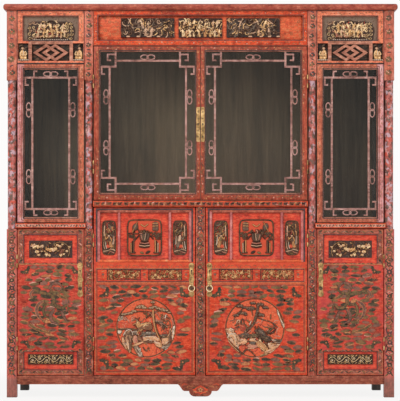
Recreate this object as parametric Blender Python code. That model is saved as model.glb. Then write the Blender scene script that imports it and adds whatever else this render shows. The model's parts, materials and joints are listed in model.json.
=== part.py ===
# Red lacquer display cabinet: three glazed bays with fretwork doors over three cupboards.

import math

import bmesh
import bpy
from mathutils import Matrix, Vector

# All sizes are metres. X runs along the front, the front faces -Y and Z is up.
# Case
OVERALL_HEIGHT = 2.100
WIDTH_OVER_POSTS = 2.068
DEPTH_OVER_POSTS = 0.500
CENTRE_BAY_WIDTH = 1.147
CORNICE_THICKNESS = 0.033
CORNICE_OVERHANG = 0.018
CORNICE_ROUNDING = 0.012
FIT = 0.0003

# Posts
POST_DEPTH = 0.053
OUTER_POST_WIDTH = 0.053
INNER_POST_WIDTH = 0.0455
COLUMN_SLIMMING = 0.003
COLUMN_FOOT_DROP = 0.0315
COLUMN_LENGTH = 0.794
REAR_POST = 0.048
REAR_POST_INSET = 0.028

# Boards and panels
SIDE_PANEL_SET = 0.028
SIDE_PANEL_THICKNESS = 0.020
BACK_PANEL_THICKNESS = 0.018
PANEL_STILE = 0.060
PANEL_RAIL = 0.070
PANEL_SINKING = 0.006
PARTITION_THICKNESS = 0.018
BOTTOM_BOARD_THICKNESS = 0.020
DISPLAY_BOARD_THICKNESS = 0.018

# Levels, from the floor up
BASE_CLEARANCE = 0.0696
BASE_RAIL_HEIGHT = 0.046
SIDE_CUPBOARD_HEIGHT = 0.7875
CENTRE_CUPBOARD_HEIGHT = 0.902
SIDE_WAIST_HEIGHT = 0.0273
CENTRE_WAIST_HEIGHT = 0.032
FRIEZE_HEIGHT = 0.189
TRANSOM_HEIGHT = 0.2845

# Waist nosings
NOSING_REACH = 0.010
NOSING_ROUNDING = 0.006
NOSING_LAP = 0.006

# Pendant under the base rail
PENDANT_WIDTH = 0.246
PENDANT_COVE = 0.036
PENDANT_SHOULDER_DROP = 0.036
PENDANT_LOBE_WIDTH = 0.122
PENDANT_TIP_WIDTH = 0.060
PENDANT_DROP = 0.065

# Frieze over the centre doors
FRIEZE_TOP_RAIL = 0.027
FRIEZE_FOOT_RAIL = 0.031
FRIEZE_STILE = 0.027
FRIEZE_INSERT_HEIGHT = 0.104
FRIEZE_CENTRE_INSERT_WIDTH = 0.234
FRIEZE_SIDE_INSERT_WIDTH = 0.286
FRIEZE_INSERT_SPACING = 0.282

# Transoms over the side doors
TRANSOM_TOP_RAIL = 0.031
TRANSOM_STILE = 0.0345
TRANSOM_CARVING_HEIGHT = 0.133
TRANSOM_MID_RAIL = 0.011
TRANSOM_FOOT_RAIL = 0.014
TRANSOM_EDGE = 0.006
NICHE_WIDTH = 0.056
LATTICE_UPRIGHT = 0.018
LATTICE_HEAD = 0.006
LOZENGE_BAR = 0.014
LOZENGE_WIDTH = 0.143
LOZENGE_OFFSET = 0.0235
HEADER_THICKNESS = 0.022
BACKING_THICKNESS = 0.012
INSERT_RAISE = 0.006
INSERT_ROUNDING = 0.002

# Doors
DOOR_RECESS = 0.004
DOOR_GAP = 0.004
MEETING_GAP = 0.003
GLAZED_DOOR_THICKNESS = 0.026
GLAZED_STILE = 0.035
MEETING_STILE = 0.027
GLAZED_TOP_RAIL = 0.027
CENTRE_DOOR_FOOT_RAIL = 0.038
SIDE_DOOR_FOOT_RAIL = 0.028
GLAZING_LIP = 0.008
GLAZING_LIP_SINKING = 0.003
PANE_THICKNESS = 0.004
PANE_BITE = 0.006
CUPBOARD_DOOR_THICKNESS = 0.024
PANEL_RECESS = 0.006
MULLION_WIDTH = 0.0487

# Fretwork
FRET_THICKNESS = 0.010
FRET_SET = 0.0045
FRET_BAR = 0.0105
FRET_THIN_BAR = 0.0085
CENTRE_FRET_CELL = 0.086
CENTRE_FRET_MARGIN = 0.049
SIDE_FRET_MARGIN = 0.0435
SIDE_FRET_STUB = 0.0525
FRET_HOOK_LENGTH = 0.038
FRET_HOOK_FOOT = 0.022
FRET_HOOK_SET = 0.002
SCROLL_TOP_SET = 0.011
SCROLL_SIDE_SET = 0.034
SCROLL_DROP = 0.040
SCROLL_FOOT = 0.023
STUB_TOP_SET = 0.006
STUB_FOOT = 0.022
KNOT_WIDTH = 0.031
KNOT_RING_LENGTH = 0.049
KNOT_RING_SPACING = 0.034
KNOT_BAR = 0.006
KNOT_LAP = 0.0015
KNOT_SINKING = 0.001
CENTRE_KNOT_SET = 0.242
SIDE_KNOT_SET = 0.216

# Centre cupboard doors
CENTRE_DOOR_BORDER = 0.034
UPPER_PANEL_TOP = 0.030
UPPER_PANEL_HEIGHT = 0.252
UPPER_MUNTIN = 0.014
UPPER_SIDE_PANEL_WIDTH = 0.094
BAND_PANEL_TOP = 0.327
BAND_PANEL_HEIGHT = 0.060
BAND_PANEL_WIDTH = 0.182
BAND_PANEL_GAP = 0.038
MEDALLION_RADIUS = 0.160
MEDALLION_HEIGHT = 0.2515
MEDALLION_SHIFT = 0.008

# Side cupboard doors
SIDE_DOOR_BORDER = 0.035
SIDE_TOP_PANEL_SET = 0.032
SIDE_TOP_PANEL_HEIGHT = 0.152
SIDE_FOOT_PANEL_SET = 0.031
SIDE_FOOT_PANEL_HEIGHT = 0.093

# Hinges, three knuckles on a pin
HINGE_LENGTH = 0.070
HINGE_BARREL_RADIUS = 0.0035
HINGE_PIN_RADIUS = 0.0015
HINGE_PIN_CLEARANCE = 0.0004
HINGE_LEAF_DEPTH = 0.022
HINGE_LEAF_CLEARANCE = 0.001
HINGE_KNUCKLE_GAP = 0.0005
GLAZED_HINGE_TOP_SET = 0.187
GLAZED_HINGE_FOOT_SET = 0.176
CENTRE_HINGE_TOP_SET = 0.174
CENTRE_HINGE_FOOT_SET = 0.168
SIDE_HINGE_TOP_SET = 0.172
SIDE_HINGE_FOOT_SET = 0.168

# Wooden pivots of the side glazed doors
PIVOT_RADIUS = 0.003
PIVOT_LENGTH = 0.008
PIVOT_SET = 0.0065
PIVOT_CLEARANCE = 0.0004

# Lock plates and ring pulls
PLATE_LENGTH = 0.182
PLATE_WIDTH = 0.031
PLATE_WAIST = 0.022
PLATE_THICKNESS = 0.002
PLATE_EDGE = 0.004
PLATE_HEIGHT = 0.628
STAPLE_DROP = 0.028
STAPLE_RADIUS = 0.0052
STAPLE_BAR_RADIUS = 0.0014
STAPLE_STANDOFF = 0.0050
RING_RADIUS = 0.0165
RING_BAR_RADIUS = 0.0022
RING_HANG = 0.0010

# Lock strips on the meeting stiles of the centre glazed doors
STRIP_LENGTH = 0.185
STRIP_WIDTH = 0.020
STRIP_EDGE = 0.001
STRIP_CHAMFER = 0.005
STRIP_HEIGHT = 1.458

# Facets on round work
CORNICE_FACETS = 3
NOSING_FACETS = 2
STAPLE_SIDES = 12
RING_SIDES = 20
BAR_SIDES = 8
COLUMN_ARC_STEPS = 12
BARREL_SIDES = 10
KNOT_SIDES = 10
MEDALLION_SIDES = 40
PLATE_STEPS = 22
CURVE_STEPS = 6

# How far helper shapes run past a face they cut, or into a body they join
OVERRUN = 0.002
BITE = 0.0005

# Places worked out from the sizes above; distances from the middle plane are positive.
FRONT = (CORNICE_OVERHANG - DEPTH_OVER_POSTS) / 2
BACK = FRONT + DEPTH_OVER_POSTS
CASE_FRONT = FRONT + POST_DEPTH
CASE_BACK = BACK - REAR_POST
FACE = FRONT + DOOR_RECESS
OUTER_FACE = WIDTH_OVER_POSTS / 2
OUTER_POST_FACE = OUTER_FACE - OUTER_POST_WIDTH
INNER_POST_FACE = CENTRE_BAY_WIDTH / 2
SIDE_BAY_FACE = INNER_POST_FACE + INNER_POST_WIDTH
PARTITION_MIDDLE = INNER_POST_FACE + INNER_POST_WIDTH / 2
PARTITION_IN = PARTITION_MIDDLE - PARTITION_THICKNESS / 2
PARTITION_OUT = PARTITION_MIDDLE + PARTITION_THICKNESS / 2
SIDE_PANEL_IN = OUTER_FACE - SIDE_PANEL_SET - SIDE_PANEL_THICKNESS
RAIL_TOP = BASE_CLEARANCE + BASE_RAIL_HEIGHT
SIDE_WAIST = RAIL_TOP + SIDE_CUPBOARD_HEIGHT
SIDE_WAIST_TOP = SIDE_WAIST + SIDE_WAIST_HEIGHT
CENTRE_WAIST = RAIL_TOP + CENTRE_CUPBOARD_HEIGHT
CENTRE_WAIST_TOP = CENTRE_WAIST + CENTRE_WAIST_HEIGHT
CASE_TOP = OVERALL_HEIGHT - CORNICE_THICKNESS
FRIEZE_FOOT = CASE_TOP - FRIEZE_HEIGHT
TRANSOM_FOOT = CASE_TOP - TRANSOM_HEIGHT
HEADER_BACK = FACE + HEADER_THICKNESS
HINGE_AXIS_Y = FRONT - HINGE_BARREL_RADIUS - 2 * FIT
HINGE_LEAF = (DOOR_GAP - HINGE_LEAF_CLEARANCE) / 2 - FIT
HINGE_BORE = HINGE_PIN_RADIUS + HINGE_PIN_CLEARANCE
PIVOT_Y = FACE + PIVOT_SET
PLATE_FRONT = FACE - FIT - PLATE_THICKNESS
RING_Y = PLATE_FRONT - STAPLE_STANDOFF
RING_Z = PLATE_HEIGHT - STAPLE_DROP - RING_HANG

SIDES = {"left": -1, "right": 1}
FACING_FRONT = Matrix.Rotation(math.pi / 2, 4, "X")

# The four glazed doors and the four cupboard doors, by the distances of their edges.
CENTRE_GLAZED = (
    MEETING_GAP / 2,
    INNER_POST_FACE - DOOR_GAP,
    CENTRE_WAIST_TOP + DOOR_GAP,
    FRIEZE_FOOT - DOOR_GAP,
)
SIDE_GLAZED = (
    SIDE_BAY_FACE + DOOR_GAP,
    OUTER_POST_FACE - DOOR_GAP,
    SIDE_WAIST_TOP + DOOR_GAP,
    TRANSOM_FOOT - DOOR_GAP,
)
CENTRE_CUPBOARD = (
    MULLION_WIDTH / 2 + DOOR_GAP,
    INNER_POST_FACE - DOOR_GAP,
    RAIL_TOP + DOOR_GAP,
    CENTRE_WAIST - DOOR_GAP,
)
SIDE_CUPBOARD = (
    SIDE_BAY_FACE + DOOR_GAP,
    OUTER_POST_FACE - DOOR_GAP,
    RAIL_TOP + DOOR_GAP,
    SIDE_WAIST - DOOR_GAP,
)


def clear_scene():
    for obj in list(bpy.data.objects):
        bpy.data.objects.remove(obj, do_unlink=True)


def new_collection(name):
    collection = bpy.data.collections.new(name)
    bpy.context.scene.collection.children.link(collection)
    return collection


def finish(name, colour, roughness, metallic=0.0):
    material = bpy.data.materials.new(name)
    material.use_nodes = True
    shader = material.node_tree.nodes["Principled BSDF"]
    shader.inputs["Base Color"].default_value = (*colour, 1.0)
    shader.inputs["Roughness"].default_value = roughness
    shader.inputs["Metallic"].default_value = metallic
    return material


def spread(side, near, far):
    """The X range of a piece given by its distances from the middle plane."""
    return min(side * near, side * far), max(side * near, side * far)


class Workshop:
    """Holds the collections and finishes, and turns shapes into named parts."""

    def __init__(self):
        self.parts = new_collection("display_cabinet")
        self.helpers = new_collection("cutters_and_joined_shapes")
        self.finishes = {
            "lacquer": finish("red_lacquer", (0.42, 0.055, 0.030), 0.45),
            "door": finish("painted_door", (0.50, 0.050, 0.030), 0.42),
            "fret": finish("fret_wood", (0.30, 0.110, 0.080), 0.55),
            "carving": finish("gilt_carving", (0.55, 0.360, 0.110), 0.40, 0.6),
            "case": finish("dark_case_wood", (0.045, 0.030, 0.026), 0.60),
            "inside": finish("inside_board", (0.110, 0.065, 0.040), 0.70),
            "glass": finish("pane_glass", (0.80, 0.860, 0.840), 0.05),
            "brass": finish("aged_brass", (0.58, 0.440, 0.200), 0.38, 1.0),
        }

    def part(self, name, bm, finish_name):
        obj = self.link(name, bm, self.parts)
        obj.data.materials.append(self.finishes[finish_name])
        return obj

    def helper(self, name, bm):
        obj = self.link(name, bm, self.helpers)
        obj.hide_render = True
        obj.display_type = "WIRE"
        return obj

    def link(self, name, bm, collection):
        bmesh.ops.recalc_face_normals(bm, faces=bm.faces)
        mesh = bpy.data.meshes.new(name)
        bm.to_mesh(mesh)
        bm.free()
        obj = bpy.data.objects.new(name, mesh)
        collection.objects.link(obj)
        return obj

    def join(self, target, bm):
        self.combine(target, "UNION", bm)

    def cut(self, target, bm):
        self.combine(target, "DIFFERENCE", bm)

    def combine(self, target, operation, bm):
        step = target.modifiers.new(operation.lower(), "BOOLEAN")
        step.operation = operation
        step.object = self.helper(f"{target.name}_{operation.lower()}_{len(target.modifiers)}", bm)

    def pivot(self, name, place, pieces):
        """An empty on a joint's axis, which carries the pieces that turn on it."""
        empty = bpy.data.objects.new(name, None)
        empty.location = place
        self.parts.objects.link(empty)
        for piece in pieces:
            piece.parent = empty
            piece.matrix_parent_inverse = Matrix.Translation(place).inverted()


def add_box(bm, low, high):
    size = Vector(high) - Vector(low)
    middle = (Vector(high) + Vector(low)) / 2
    place = Matrix.Translation(middle) @ Matrix.Diagonal((*size, 1.0))
    return bmesh.ops.create_cube(bm, size=1.0, matrix=place)["verts"]


def box(low, high):
    bm = bmesh.new()
    add_box(bm, low, high)
    return bm


def boxes(ranges):
    bm = bmesh.new()
    for low, high in ranges:
        add_box(bm, low, high)
    return bm


def add_cylinder(bm, place, radius, length, sides, axis="Z"):
    turn = {"X": Matrix.Rotation(math.pi / 2, 4, "Y"), "Y": FACING_FRONT, "Z": Matrix()}[axis]
    bmesh.ops.create_cone(
        bm,
        cap_ends=True,
        segments=sides,
        radius1=radius,
        radius2=radius,
        depth=length,
        matrix=Matrix.Translation(place) @ turn,
    )


def round_edges(bm, chosen, width, segments):
    edges = [edge for edge in bm.edges if chosen(*(v.co for v in edge.verts))]
    bmesh.ops.bevel(bm, geom=edges, offset=width, segments=segments, profile=0.5, affect="EDGES")


def ring_points(middle, radius_u, radius_v, steps, start=0.0, stop=2 * math.pi, closed=True):
    count = steps if closed else steps + 1
    angles = [start + (stop - start) * i / steps for i in range(count)]
    return [(middle[0] + radius_u * math.cos(a), middle[1] + radius_v * math.sin(a)) for a in angles]


def outline(loops, thickness, place):
    """A flat outline of one or more closed loops, thickened evenly about its plane and put in place."""
    curve = bpy.data.curves.new("outline", "CURVE")
    curve.dimensions = "2D"
    curve.fill_mode = "BOTH"
    curve.extrude = thickness / 2
    for loop in loops:
        spline = curve.splines.new("POLY")
        spline.points.add(len(loop) - 1)
        for point, (u, v) in zip(spline.points, loop):
            point.co = (u, v, 0.0, 1.0)
        spline.use_cyclic_u = True
    obj = bpy.data.objects.new("outline", curve)
    bpy.context.scene.collection.objects.link(obj)
    mesh = bpy.data.meshes.new_from_object(obj.evaluated_get(bpy.context.evaluated_depsgraph_get()))
    bpy.data.objects.remove(obj, do_unlink=True)
    bm = bmesh.new()
    bm.from_mesh(mesh)
    bmesh.ops.remove_doubles(bm, verts=bm.verts, dist=1e-6)
    bmesh.ops.transform(bm, matrix=place, verts=bm.verts)
    return bm


def torus(radius, bar_radius, place, around, across):
    bpy.ops.mesh.primitive_torus_add(
        major_radius=radius, minor_radius=bar_radius, major_segments=around, minor_segments=across
    )
    obj = bpy.context.object
    bm = bmesh.new()
    bm.from_mesh(obj.data)
    bpy.data.objects.remove(obj, do_unlink=True)
    bmesh.ops.transform(bm, matrix=place, verts=bm.verts)
    return bm


def bar_plate(bars, front, back):
    """Upright bars and rails, each (low x, high x, low z, high z), joined into one plate."""
    across = sorted({round(value, 6) for bar in bars for value in bar[:2]})
    up = sorted({round(value, 6) for bar in bars for value in bar[2:]})
    bm = bmesh.new()
    corners = {(x, z): bm.verts.new((x, front, z)) for x in across for z in up}
    for x0, x1 in zip(across, across[1:]):
        for z0, z1 in zip(up, up[1:]):
            middle_x, middle_z = (x0 + x1) / 2, (z0 + z1) / 2
            if any(bar[0] < middle_x < bar[1] and bar[2] < middle_z < bar[3] for bar in bars):
                bm.faces.new([corners[place] for place in ((x0, z0), (x1, z0), (x1, z1), (x0, z1))])
    bmesh.ops.delete(bm, geom=[v for v in bm.verts if not v.link_faces], context="VERTS")
    made = bmesh.ops.extrude_face_region(bm, geom=bm.faces[:])["geom"]
    moved = [item for item in made if isinstance(item, bmesh.types.BMVert)]
    bmesh.ops.translate(bm, vec=(0.0, back - front, 0.0), verts=moved)
    bmesh.ops.recalc_face_normals(bm, faces=bm.faces)
    bmesh.ops.dissolve_limit(bm, angle_limit=math.radians(1), verts=bm.verts, edges=bm.edges)
    return bm


# Case


def make_cornice(shop):
    reach = OUTER_FACE + CORNICE_OVERHANG
    front = FRONT - CORNICE_OVERHANG
    bm = box((-reach, front, CASE_TOP), (reach, BACK, OVERALL_HEIGHT))

    def exposed(a, b):
        on_back = a.y > BACK - BITE and b.y > BACK - BITE
        runs_back_to_front = abs(a.y - b.y) > BITE
        return not on_back or runs_back_to_front

    round_edges(bm, exposed, CORNICE_ROUNDING, CORNICE_FACETS)
    shop.part("cornice_board", bm, "lacquer")


def make_front_post(shop, name, low_x, high_x, foot):
    column_foot = SIDE_WAIST_TOP - COLUMN_FOOT_DROP
    column_head = column_foot + COLUMN_LENGTH
    radius = (high_x - low_x) / 2 - COLUMN_SLIMMING
    middle = (low_x + high_x) / 2
    centre_y = FRONT + COLUMN_SLIMMING + radius
    post = shop.part(name, box((low_x, FRONT, foot), (high_x, CASE_FRONT, column_foot)), "lacquer")
    shop.join(post, box((low_x, FRONT, column_head), (high_x, CASE_FRONT, CASE_TOP - FIT)))
    arc = ring_points((middle, centre_y), radius, radius, COLUMN_ARC_STEPS, math.pi, 2 * math.pi, closed=False)
    section = arc + [(middle + radius, CASE_FRONT - BITE), (middle - radius, CASE_FRONT - BITE)]
    height = COLUMN_LENGTH + 2 * OVERRUN
    place = Matrix.Translation((0, 0, (column_foot + column_head) / 2))
    shop.join(post, outline([section], height, place))


def make_posts(shop):
    for word, side in SIDES.items():
        low_x, high_x = spread(side, OUTER_POST_FACE, OUTER_FACE)
        make_front_post(shop, f"post_outer_{word}", low_x, high_x, 0.0)
        low_x, high_x = spread(side, INNER_POST_FACE, SIDE_BAY_FACE)
        make_front_post(shop, f"post_inner_{word}", low_x, high_x, RAIL_TOP + FIT)
        outer = OUTER_FACE - REAR_POST_INSET
        low_x, high_x = spread(side, outer - REAR_POST, outer)
        bm = box((low_x, CASE_BACK, 0.0), (high_x, BACK, CASE_TOP - FIT))
        shop.part(f"post_rear_{word}", bm, "case")


def sunk_fields(low, high, breaks, edge):
    """Ranges of the sunk fields between the breaks, each set in from its neighbours by the edge width."""
    stops = [low, *breaks, high]
    return [(a + edge, b - edge) for a, b in zip(stops, stops[1:])]


def make_side_panels(shop):
    outer = OUTER_FACE - SIDE_PANEL_SET
    low_y, high_y = CASE_FRONT + FIT, CASE_BACK - FIT
    low_z, high_z = BASE_CLEARANCE, CASE_TOP - FIT
    for word, side in SIDES.items():
        low_x, high_x = spread(side, SIDE_PANEL_IN, outer)
        bm = box((low_x, low_y, low_z), (high_x, high_y, high_z))
        panel = shop.part(f"side_panel_{word}", bm, "case")
        cut_x = spread(side, outer - PANEL_SINKING, outer + OVERRUN)
        fields = sunk_fields(low_z, high_z, [SIDE_WAIST], PANEL_RAIL)
        cuts = [
            ((cut_x[0], low_y + PANEL_STILE, z0), (cut_x[1], high_y - PANEL_STILE, z1)) for z0, z1 in fields
        ]
        shop.cut(panel, boxes(cuts))


def make_back_panel(shop):
    reach = OUTER_FACE - REAR_POST_INSET - REAR_POST - FIT
    back = CASE_BACK + BACK_PANEL_THICKNESS
    low_z, high_z = BASE_CLEARANCE, CASE_TOP - FIT
    bm = box((-reach, CASE_BACK, low_z), (reach, back, high_z))
    panel = shop.part("back_panel", bm, "case")
    columns = sunk_fields(-reach, reach, [-PARTITION_MIDDLE, PARTITION_MIDDLE], PANEL_STILE)
    rows = sunk_fields(low_z, high_z, [CENTRE_WAIST], PANEL_RAIL)
    cuts = [
        ((x0, back - PANEL_SINKING, z0), (x1, back + OVERRUN, z1)) for x0, x1 in columns for z0, z1 in rows
    ]
    shop.cut(panel, boxes(cuts))


def make_boards(shop):
    reach = SIDE_PANEL_IN - FIT
    low_y, high_y = CASE_FRONT + FIT, CASE_BACK - FIT
    bm = box((-reach, low_y, RAIL_TOP - BOTTOM_BOARD_THICKNESS), (reach, high_y, RAIL_TOP))
    shop.part("bottom_board", bm, "inside")
    for word, side in SIDES.items():
        low_x, high_x = spread(side, PARTITION_IN, PARTITION_OUT)
        bm = box((low_x, low_y, RAIL_TOP + FIT), (high_x, high_y, CASE_TOP - FIT))
        shop.part(f"partition_{word}", bm, "inside")


def nosing(low_x, high_x, low_z, high_z):
    front = FRONT - NOSING_REACH
    bm = box((low_x, front, low_z), (high_x, FRONT - FIT, high_z))

    def on_front(a, b):
        return a.y < front + BITE and b.y < front + BITE and abs(a.x - b.x) > BITE

    round_edges(bm, on_front, NOSING_ROUNDING, NOSING_FACETS)
    return bm


def make_display_floor(shop, name, rail_x, nosing_x, board_x, low_z, high_z):
    floor = shop.part(name, nosing(*nosing_x, low_z, high_z), "lacquer")
    shop.join(floor, box((rail_x[0], FRONT - OVERRUN, low_z), (rail_x[1], CASE_FRONT, high_z)))
    board_low = (board_x[0], CASE_FRONT + FIT, high_z - DISPLAY_BOARD_THICKNESS)
    shop.join(floor, box(board_low, (board_x[1], CASE_BACK - FIT, high_z)))
    tongue_low = (rail_x[0] + BITE, CASE_FRONT - OVERRUN, high_z - DISPLAY_BOARD_THICKNESS + BITE)
    shop.join(floor, box(tongue_low, (rail_x[1] - BITE, CASE_FRONT + OVERRUN, high_z - BITE)))
    return floor


def make_display_floors(shop):
    rail = (-INNER_POST_FACE + FIT, INNER_POST_FACE - FIT)
    board = (-PARTITION_IN + FIT, PARTITION_IN - FIT)
    make_display_floor(shop, "display_floor_centre", rail, rail, board, CENTRE_WAIST, CENTRE_WAIST_TOP)
    for word, side in SIDES.items():
        rail = spread(side, SIDE_BAY_FACE + FIT, OUTER_POST_FACE - FIT)
        lapped = spread(side, SIDE_BAY_FACE - NOSING_LAP, OUTER_POST_FACE + NOSING_LAP)
        board = spread(side, PARTITION_OUT + FIT, SIDE_PANEL_IN - FIT)
        name = f"display_floor_{word}"
        floor = make_display_floor(shop, name, rail, lapped, board, SIDE_WAIST, SIDE_WAIST_TOP)
        foot = SIDE_WAIST_TOP - PIVOT_LENGTH - FIT
        shop.cut(floor, pivot_pin(side, foot, SIDE_WAIST_TOP + OVERRUN, PIVOT_CLEARANCE))


def pendant_edge():
    """Right half of the rail's lower edge, from the rail out to the tip, as offsets below the rail."""
    start, tip = PENDANT_WIDTH / 2, PENDANT_TIP_WIDTH / 2
    lobe = PENDANT_LOBE_WIDTH / 2
    points = []
    for i in range(CURVE_STEPS + 1):
        t = i / CURVE_STEPS
        points.append((start - PENDANT_COVE * t, -PENDANT_SHOULDER_DROP * (1 - math.cos(math.pi * t)) / 2))
    for i in range(CURVE_STEPS + 1):
        a = math.pi / 2 * i / CURVE_STEPS
        fall = (PENDANT_DROP - PENDANT_SHOULDER_DROP) * math.sin(a)
        points.append((tip + (lobe - tip) * math.cos(a), -PENDANT_SHOULDER_DROP - fall))
    return points


def make_base_rail(shop):
    reach = OUTER_POST_FACE - FIT
    left = [(-x, BASE_CLEARANCE + z) for x, z in pendant_edge()]
    right = [(-x, z) for x, z in reversed(left)]
    loop = [(-reach, RAIL_TOP), (-reach, BASE_CLEARANCE), *left]
    loop += [*right, (reach, BASE_CLEARANCE), (reach, RAIL_TOP)]
    middle_y = (FACE + CASE_FRONT) / 2
    bm = outline([loop], CASE_FRONT - FACE, Matrix.Translation((0, middle_y, 0)) @ FACING_FRONT)
    shop.part("base_rail", bm, "lacquer")


def raised_insert(low_x, high_x, low_z, high_z):
    front = HEADER_BACK + FIT - INSERT_RAISE
    bm = box((low_x, front, low_z), (high_x, HEADER_BACK + FIT + OVERRUN, high_z))

    def on_front(a, b):
        return a.y < front + BITE and b.y < front + BITE

    round_edges(bm, on_front, INSERT_ROUNDING, 1)
    return bm


def make_frieze(shop):
    reach = INNER_POST_FACE - FIT
    low_z, high_z = FRIEZE_FOOT, CASE_TOP - FIT
    foot_edge, top_edge = low_z + FRIEZE_FOOT_RAIL, high_z - FRIEZE_TOP_RAIL
    bars = [
        (-reach, reach, top_edge, high_z),
        (-reach, reach, low_z, foot_edge),
        (-reach, -reach + FRIEZE_STILE, low_z, high_z),
        (reach - FRIEZE_STILE, reach, low_z, high_z),
    ]
    shop.part("frieze_frame", bar_plate(bars, FACE, HEADER_BACK), "lacquer")
    back = HEADER_BACK + FIT + BACKING_THICKNESS
    bm = box((-reach, HEADER_BACK + FIT, low_z), (reach, back, high_z))
    carving = shop.part("frieze_carving", bm, "carving")
    middle_z = (foot_edge + top_edge) / 2
    for place, width in (
        (-FRIEZE_INSERT_SPACING, FRIEZE_SIDE_INSERT_WIDTH),
        (0.0, FRIEZE_CENTRE_INSERT_WIDTH),
        (FRIEZE_INSERT_SPACING, FRIEZE_SIDE_INSERT_WIDTH),
    ):
        ends = place - width / 2, place + width / 2
        heights = middle_z - FRIEZE_INSERT_HEIGHT / 2, middle_z + FRIEZE_INSERT_HEIGHT / 2
        shop.join(carving, raised_insert(*ends, *heights))


def lozenge(middle_x, middle_z, width, height, thickness):
    outer = ring_points((0, 0), width / 2, height / 2, 4)
    slope = math.hypot(width, height) / 2
    step_u, step_v = LOZENGE_BAR * slope / (height / 2), LOZENGE_BAR * slope / (width / 2)
    inner = ring_points((0, 0), width / 2 - step_u, height / 2 - step_v, 4)
    place = Matrix.Translation((middle_x, (FACE + HEADER_BACK) / 2, middle_z)) @ FACING_FRONT
    return outline([outer, inner], thickness, place)


def make_transoms(shop):
    near, far = SIDE_BAY_FACE + FIT, OUTER_POST_FACE - FIT
    low_z, high_z = TRANSOM_FOOT, CASE_TOP - FIT
    carving_top = high_z - TRANSOM_TOP_RAIL
    carving_foot = carving_top - TRANSOM_CARVING_HEIGHT
    lattice_top = carving_foot - TRANSOM_MID_RAIL
    lattice_head = lattice_top - LATTICE_HEAD
    lattice_foot = low_z + TRANSOM_FOOT_RAIL
    upright = TRANSOM_EDGE + NICHE_WIDTH
    for word, side in SIDES.items():
        spans = [
            (near, far, carving_top, high_z),
            (near, near + TRANSOM_STILE, lattice_top, high_z),
            (far - TRANSOM_STILE, far, lattice_top, high_z),
            (near, far, lattice_top, carving_foot),
            (near, near + TRANSOM_EDGE, low_z, carving_foot),
            (far - TRANSOM_EDGE, far, low_z, carving_foot),
            (near + upright, near + upright + LATTICE_UPRIGHT, low_z, carving_foot),
            (far - upright - LATTICE_UPRIGHT, far - upright, low_z, carving_foot),
            (near + upright, far - upright, lattice_head, lattice_top),
            (near, far, low_z, lattice_foot),
        ]
        bars = [(*spread(side, a, b), z0, z1) for a, b, z0, z1 in spans]
        frame = shop.part(f"transom_frame_{word}", bar_plate(bars, FACE, HEADER_BACK), "lacquer")
        low_x, high_x = spread(side, near + upright + LATTICE_UPRIGHT, far - upright - LATTICE_UPRIGHT)
        height = lattice_head - lattice_foot + 2 * OVERRUN
        width = min(LOZENGE_WIDTH, high_x - low_x - 2 * LOZENGE_OFFSET)
        middle_x, middle_z = (low_x + high_x) / 2, (lattice_head + lattice_foot) / 2
        for shift, layers in ((-LOZENGE_OFFSET, 1), (LOZENGE_OFFSET, 2)):
            thickness = HEADER_THICKNESS - 2 * layers * KNOT_SINKING
            shop.join(frame, lozenge(middle_x + shift, middle_z, width, height, thickness))
        head = TRANSOM_FOOT + PIVOT_LENGTH + FIT
        shop.cut(frame, pivot_pin(side, TRANSOM_FOOT - OVERRUN, head, PIVOT_CLEARANCE))
        low_x, high_x = spread(side, near, far)
        back = HEADER_BACK + FIT + BACKING_THICKNESS
        bm = box((low_x, HEADER_BACK + FIT, low_z), (high_x, back, high_z))
        carving = shop.part(f"transom_carving_{word}", bm, "carving")
        low_x, high_x = spread(side, near + TRANSOM_STILE + FIT, far - TRANSOM_STILE - FIT)
        shop.join(carving, raised_insert(low_x, high_x, carving_foot + FIT, carving_top - FIT))


def make_mullion(shop):
    half = MULLION_WIDTH / 2
    bm = box((-half, FACE, RAIL_TOP + FIT), (half, FACE + CUPBOARD_DOOR_THICKNESS, CENTRE_WAIST - FIT))

    def on_front(a, b):
        return a.y < FACE + BITE and b.y < FACE + BITE and abs(a.z - b.z) > BITE

    round_edges(bm, on_front, INSERT_ROUNDING, 1)
    shop.part("mullion", bm, "lacquer")


# Hinges and pivots


def hinge_spans(middle_z):
    """Z ranges of the foot, middle and top knuckles of a hinge."""
    third = HINGE_LENGTH / 3
    low = middle_z - HINGE_LENGTH / 2
    gap = HINGE_KNUCKLE_GAP / 2
    return [
        (low, low + third - gap),
        (low + third + gap, low + 2 * third - gap),
        (low + 2 * third + gap, low + HINGE_LENGTH),
    ]


def make_hinge(shop, name, side, post_face, middle_z):
    """The leaf on the post, with the two outer knuckles and the pin."""
    axis_x = side * (post_face - DOOR_GAP / 2)
    leaf_x = spread(side, post_face - FIT - HINGE_LEAF, post_face - FIT)
    foot, _, top = hinge_spans(middle_z)
    low, high = middle_z - HINGE_LENGTH / 2, middle_z + HINGE_LENGTH / 2
    bm = box((leaf_x[0], FRONT + FIT, low), (leaf_x[1], FRONT + HINGE_LEAF_DEPTH, high))
    hinge = shop.part(name, bm, "brass")
    necks = [((leaf_x[0], HINGE_AXIS_Y, z0), (leaf_x[1], FRONT + OVERRUN, z1)) for z0, z1 in (foot, top)]
    shop.join(hinge, boxes(necks))
    knuckles = bmesh.new()
    for z0, z1 in (foot, top):
        place = (axis_x, HINGE_AXIS_Y, (z0 + z1) / 2)
        add_cylinder(knuckles, place, HINGE_BARREL_RADIUS, z1 - z0, BARREL_SIDES)
    shop.join(hinge, knuckles)
    pin = bmesh.new()
    place = (axis_x, HINGE_AXIS_Y, middle_z)
    add_cylinder(pin, place, HINGE_PIN_RADIUS, HINGE_LENGTH - OVERRUN, BARREL_SIDES)
    shop.join(hinge, pin)


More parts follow.
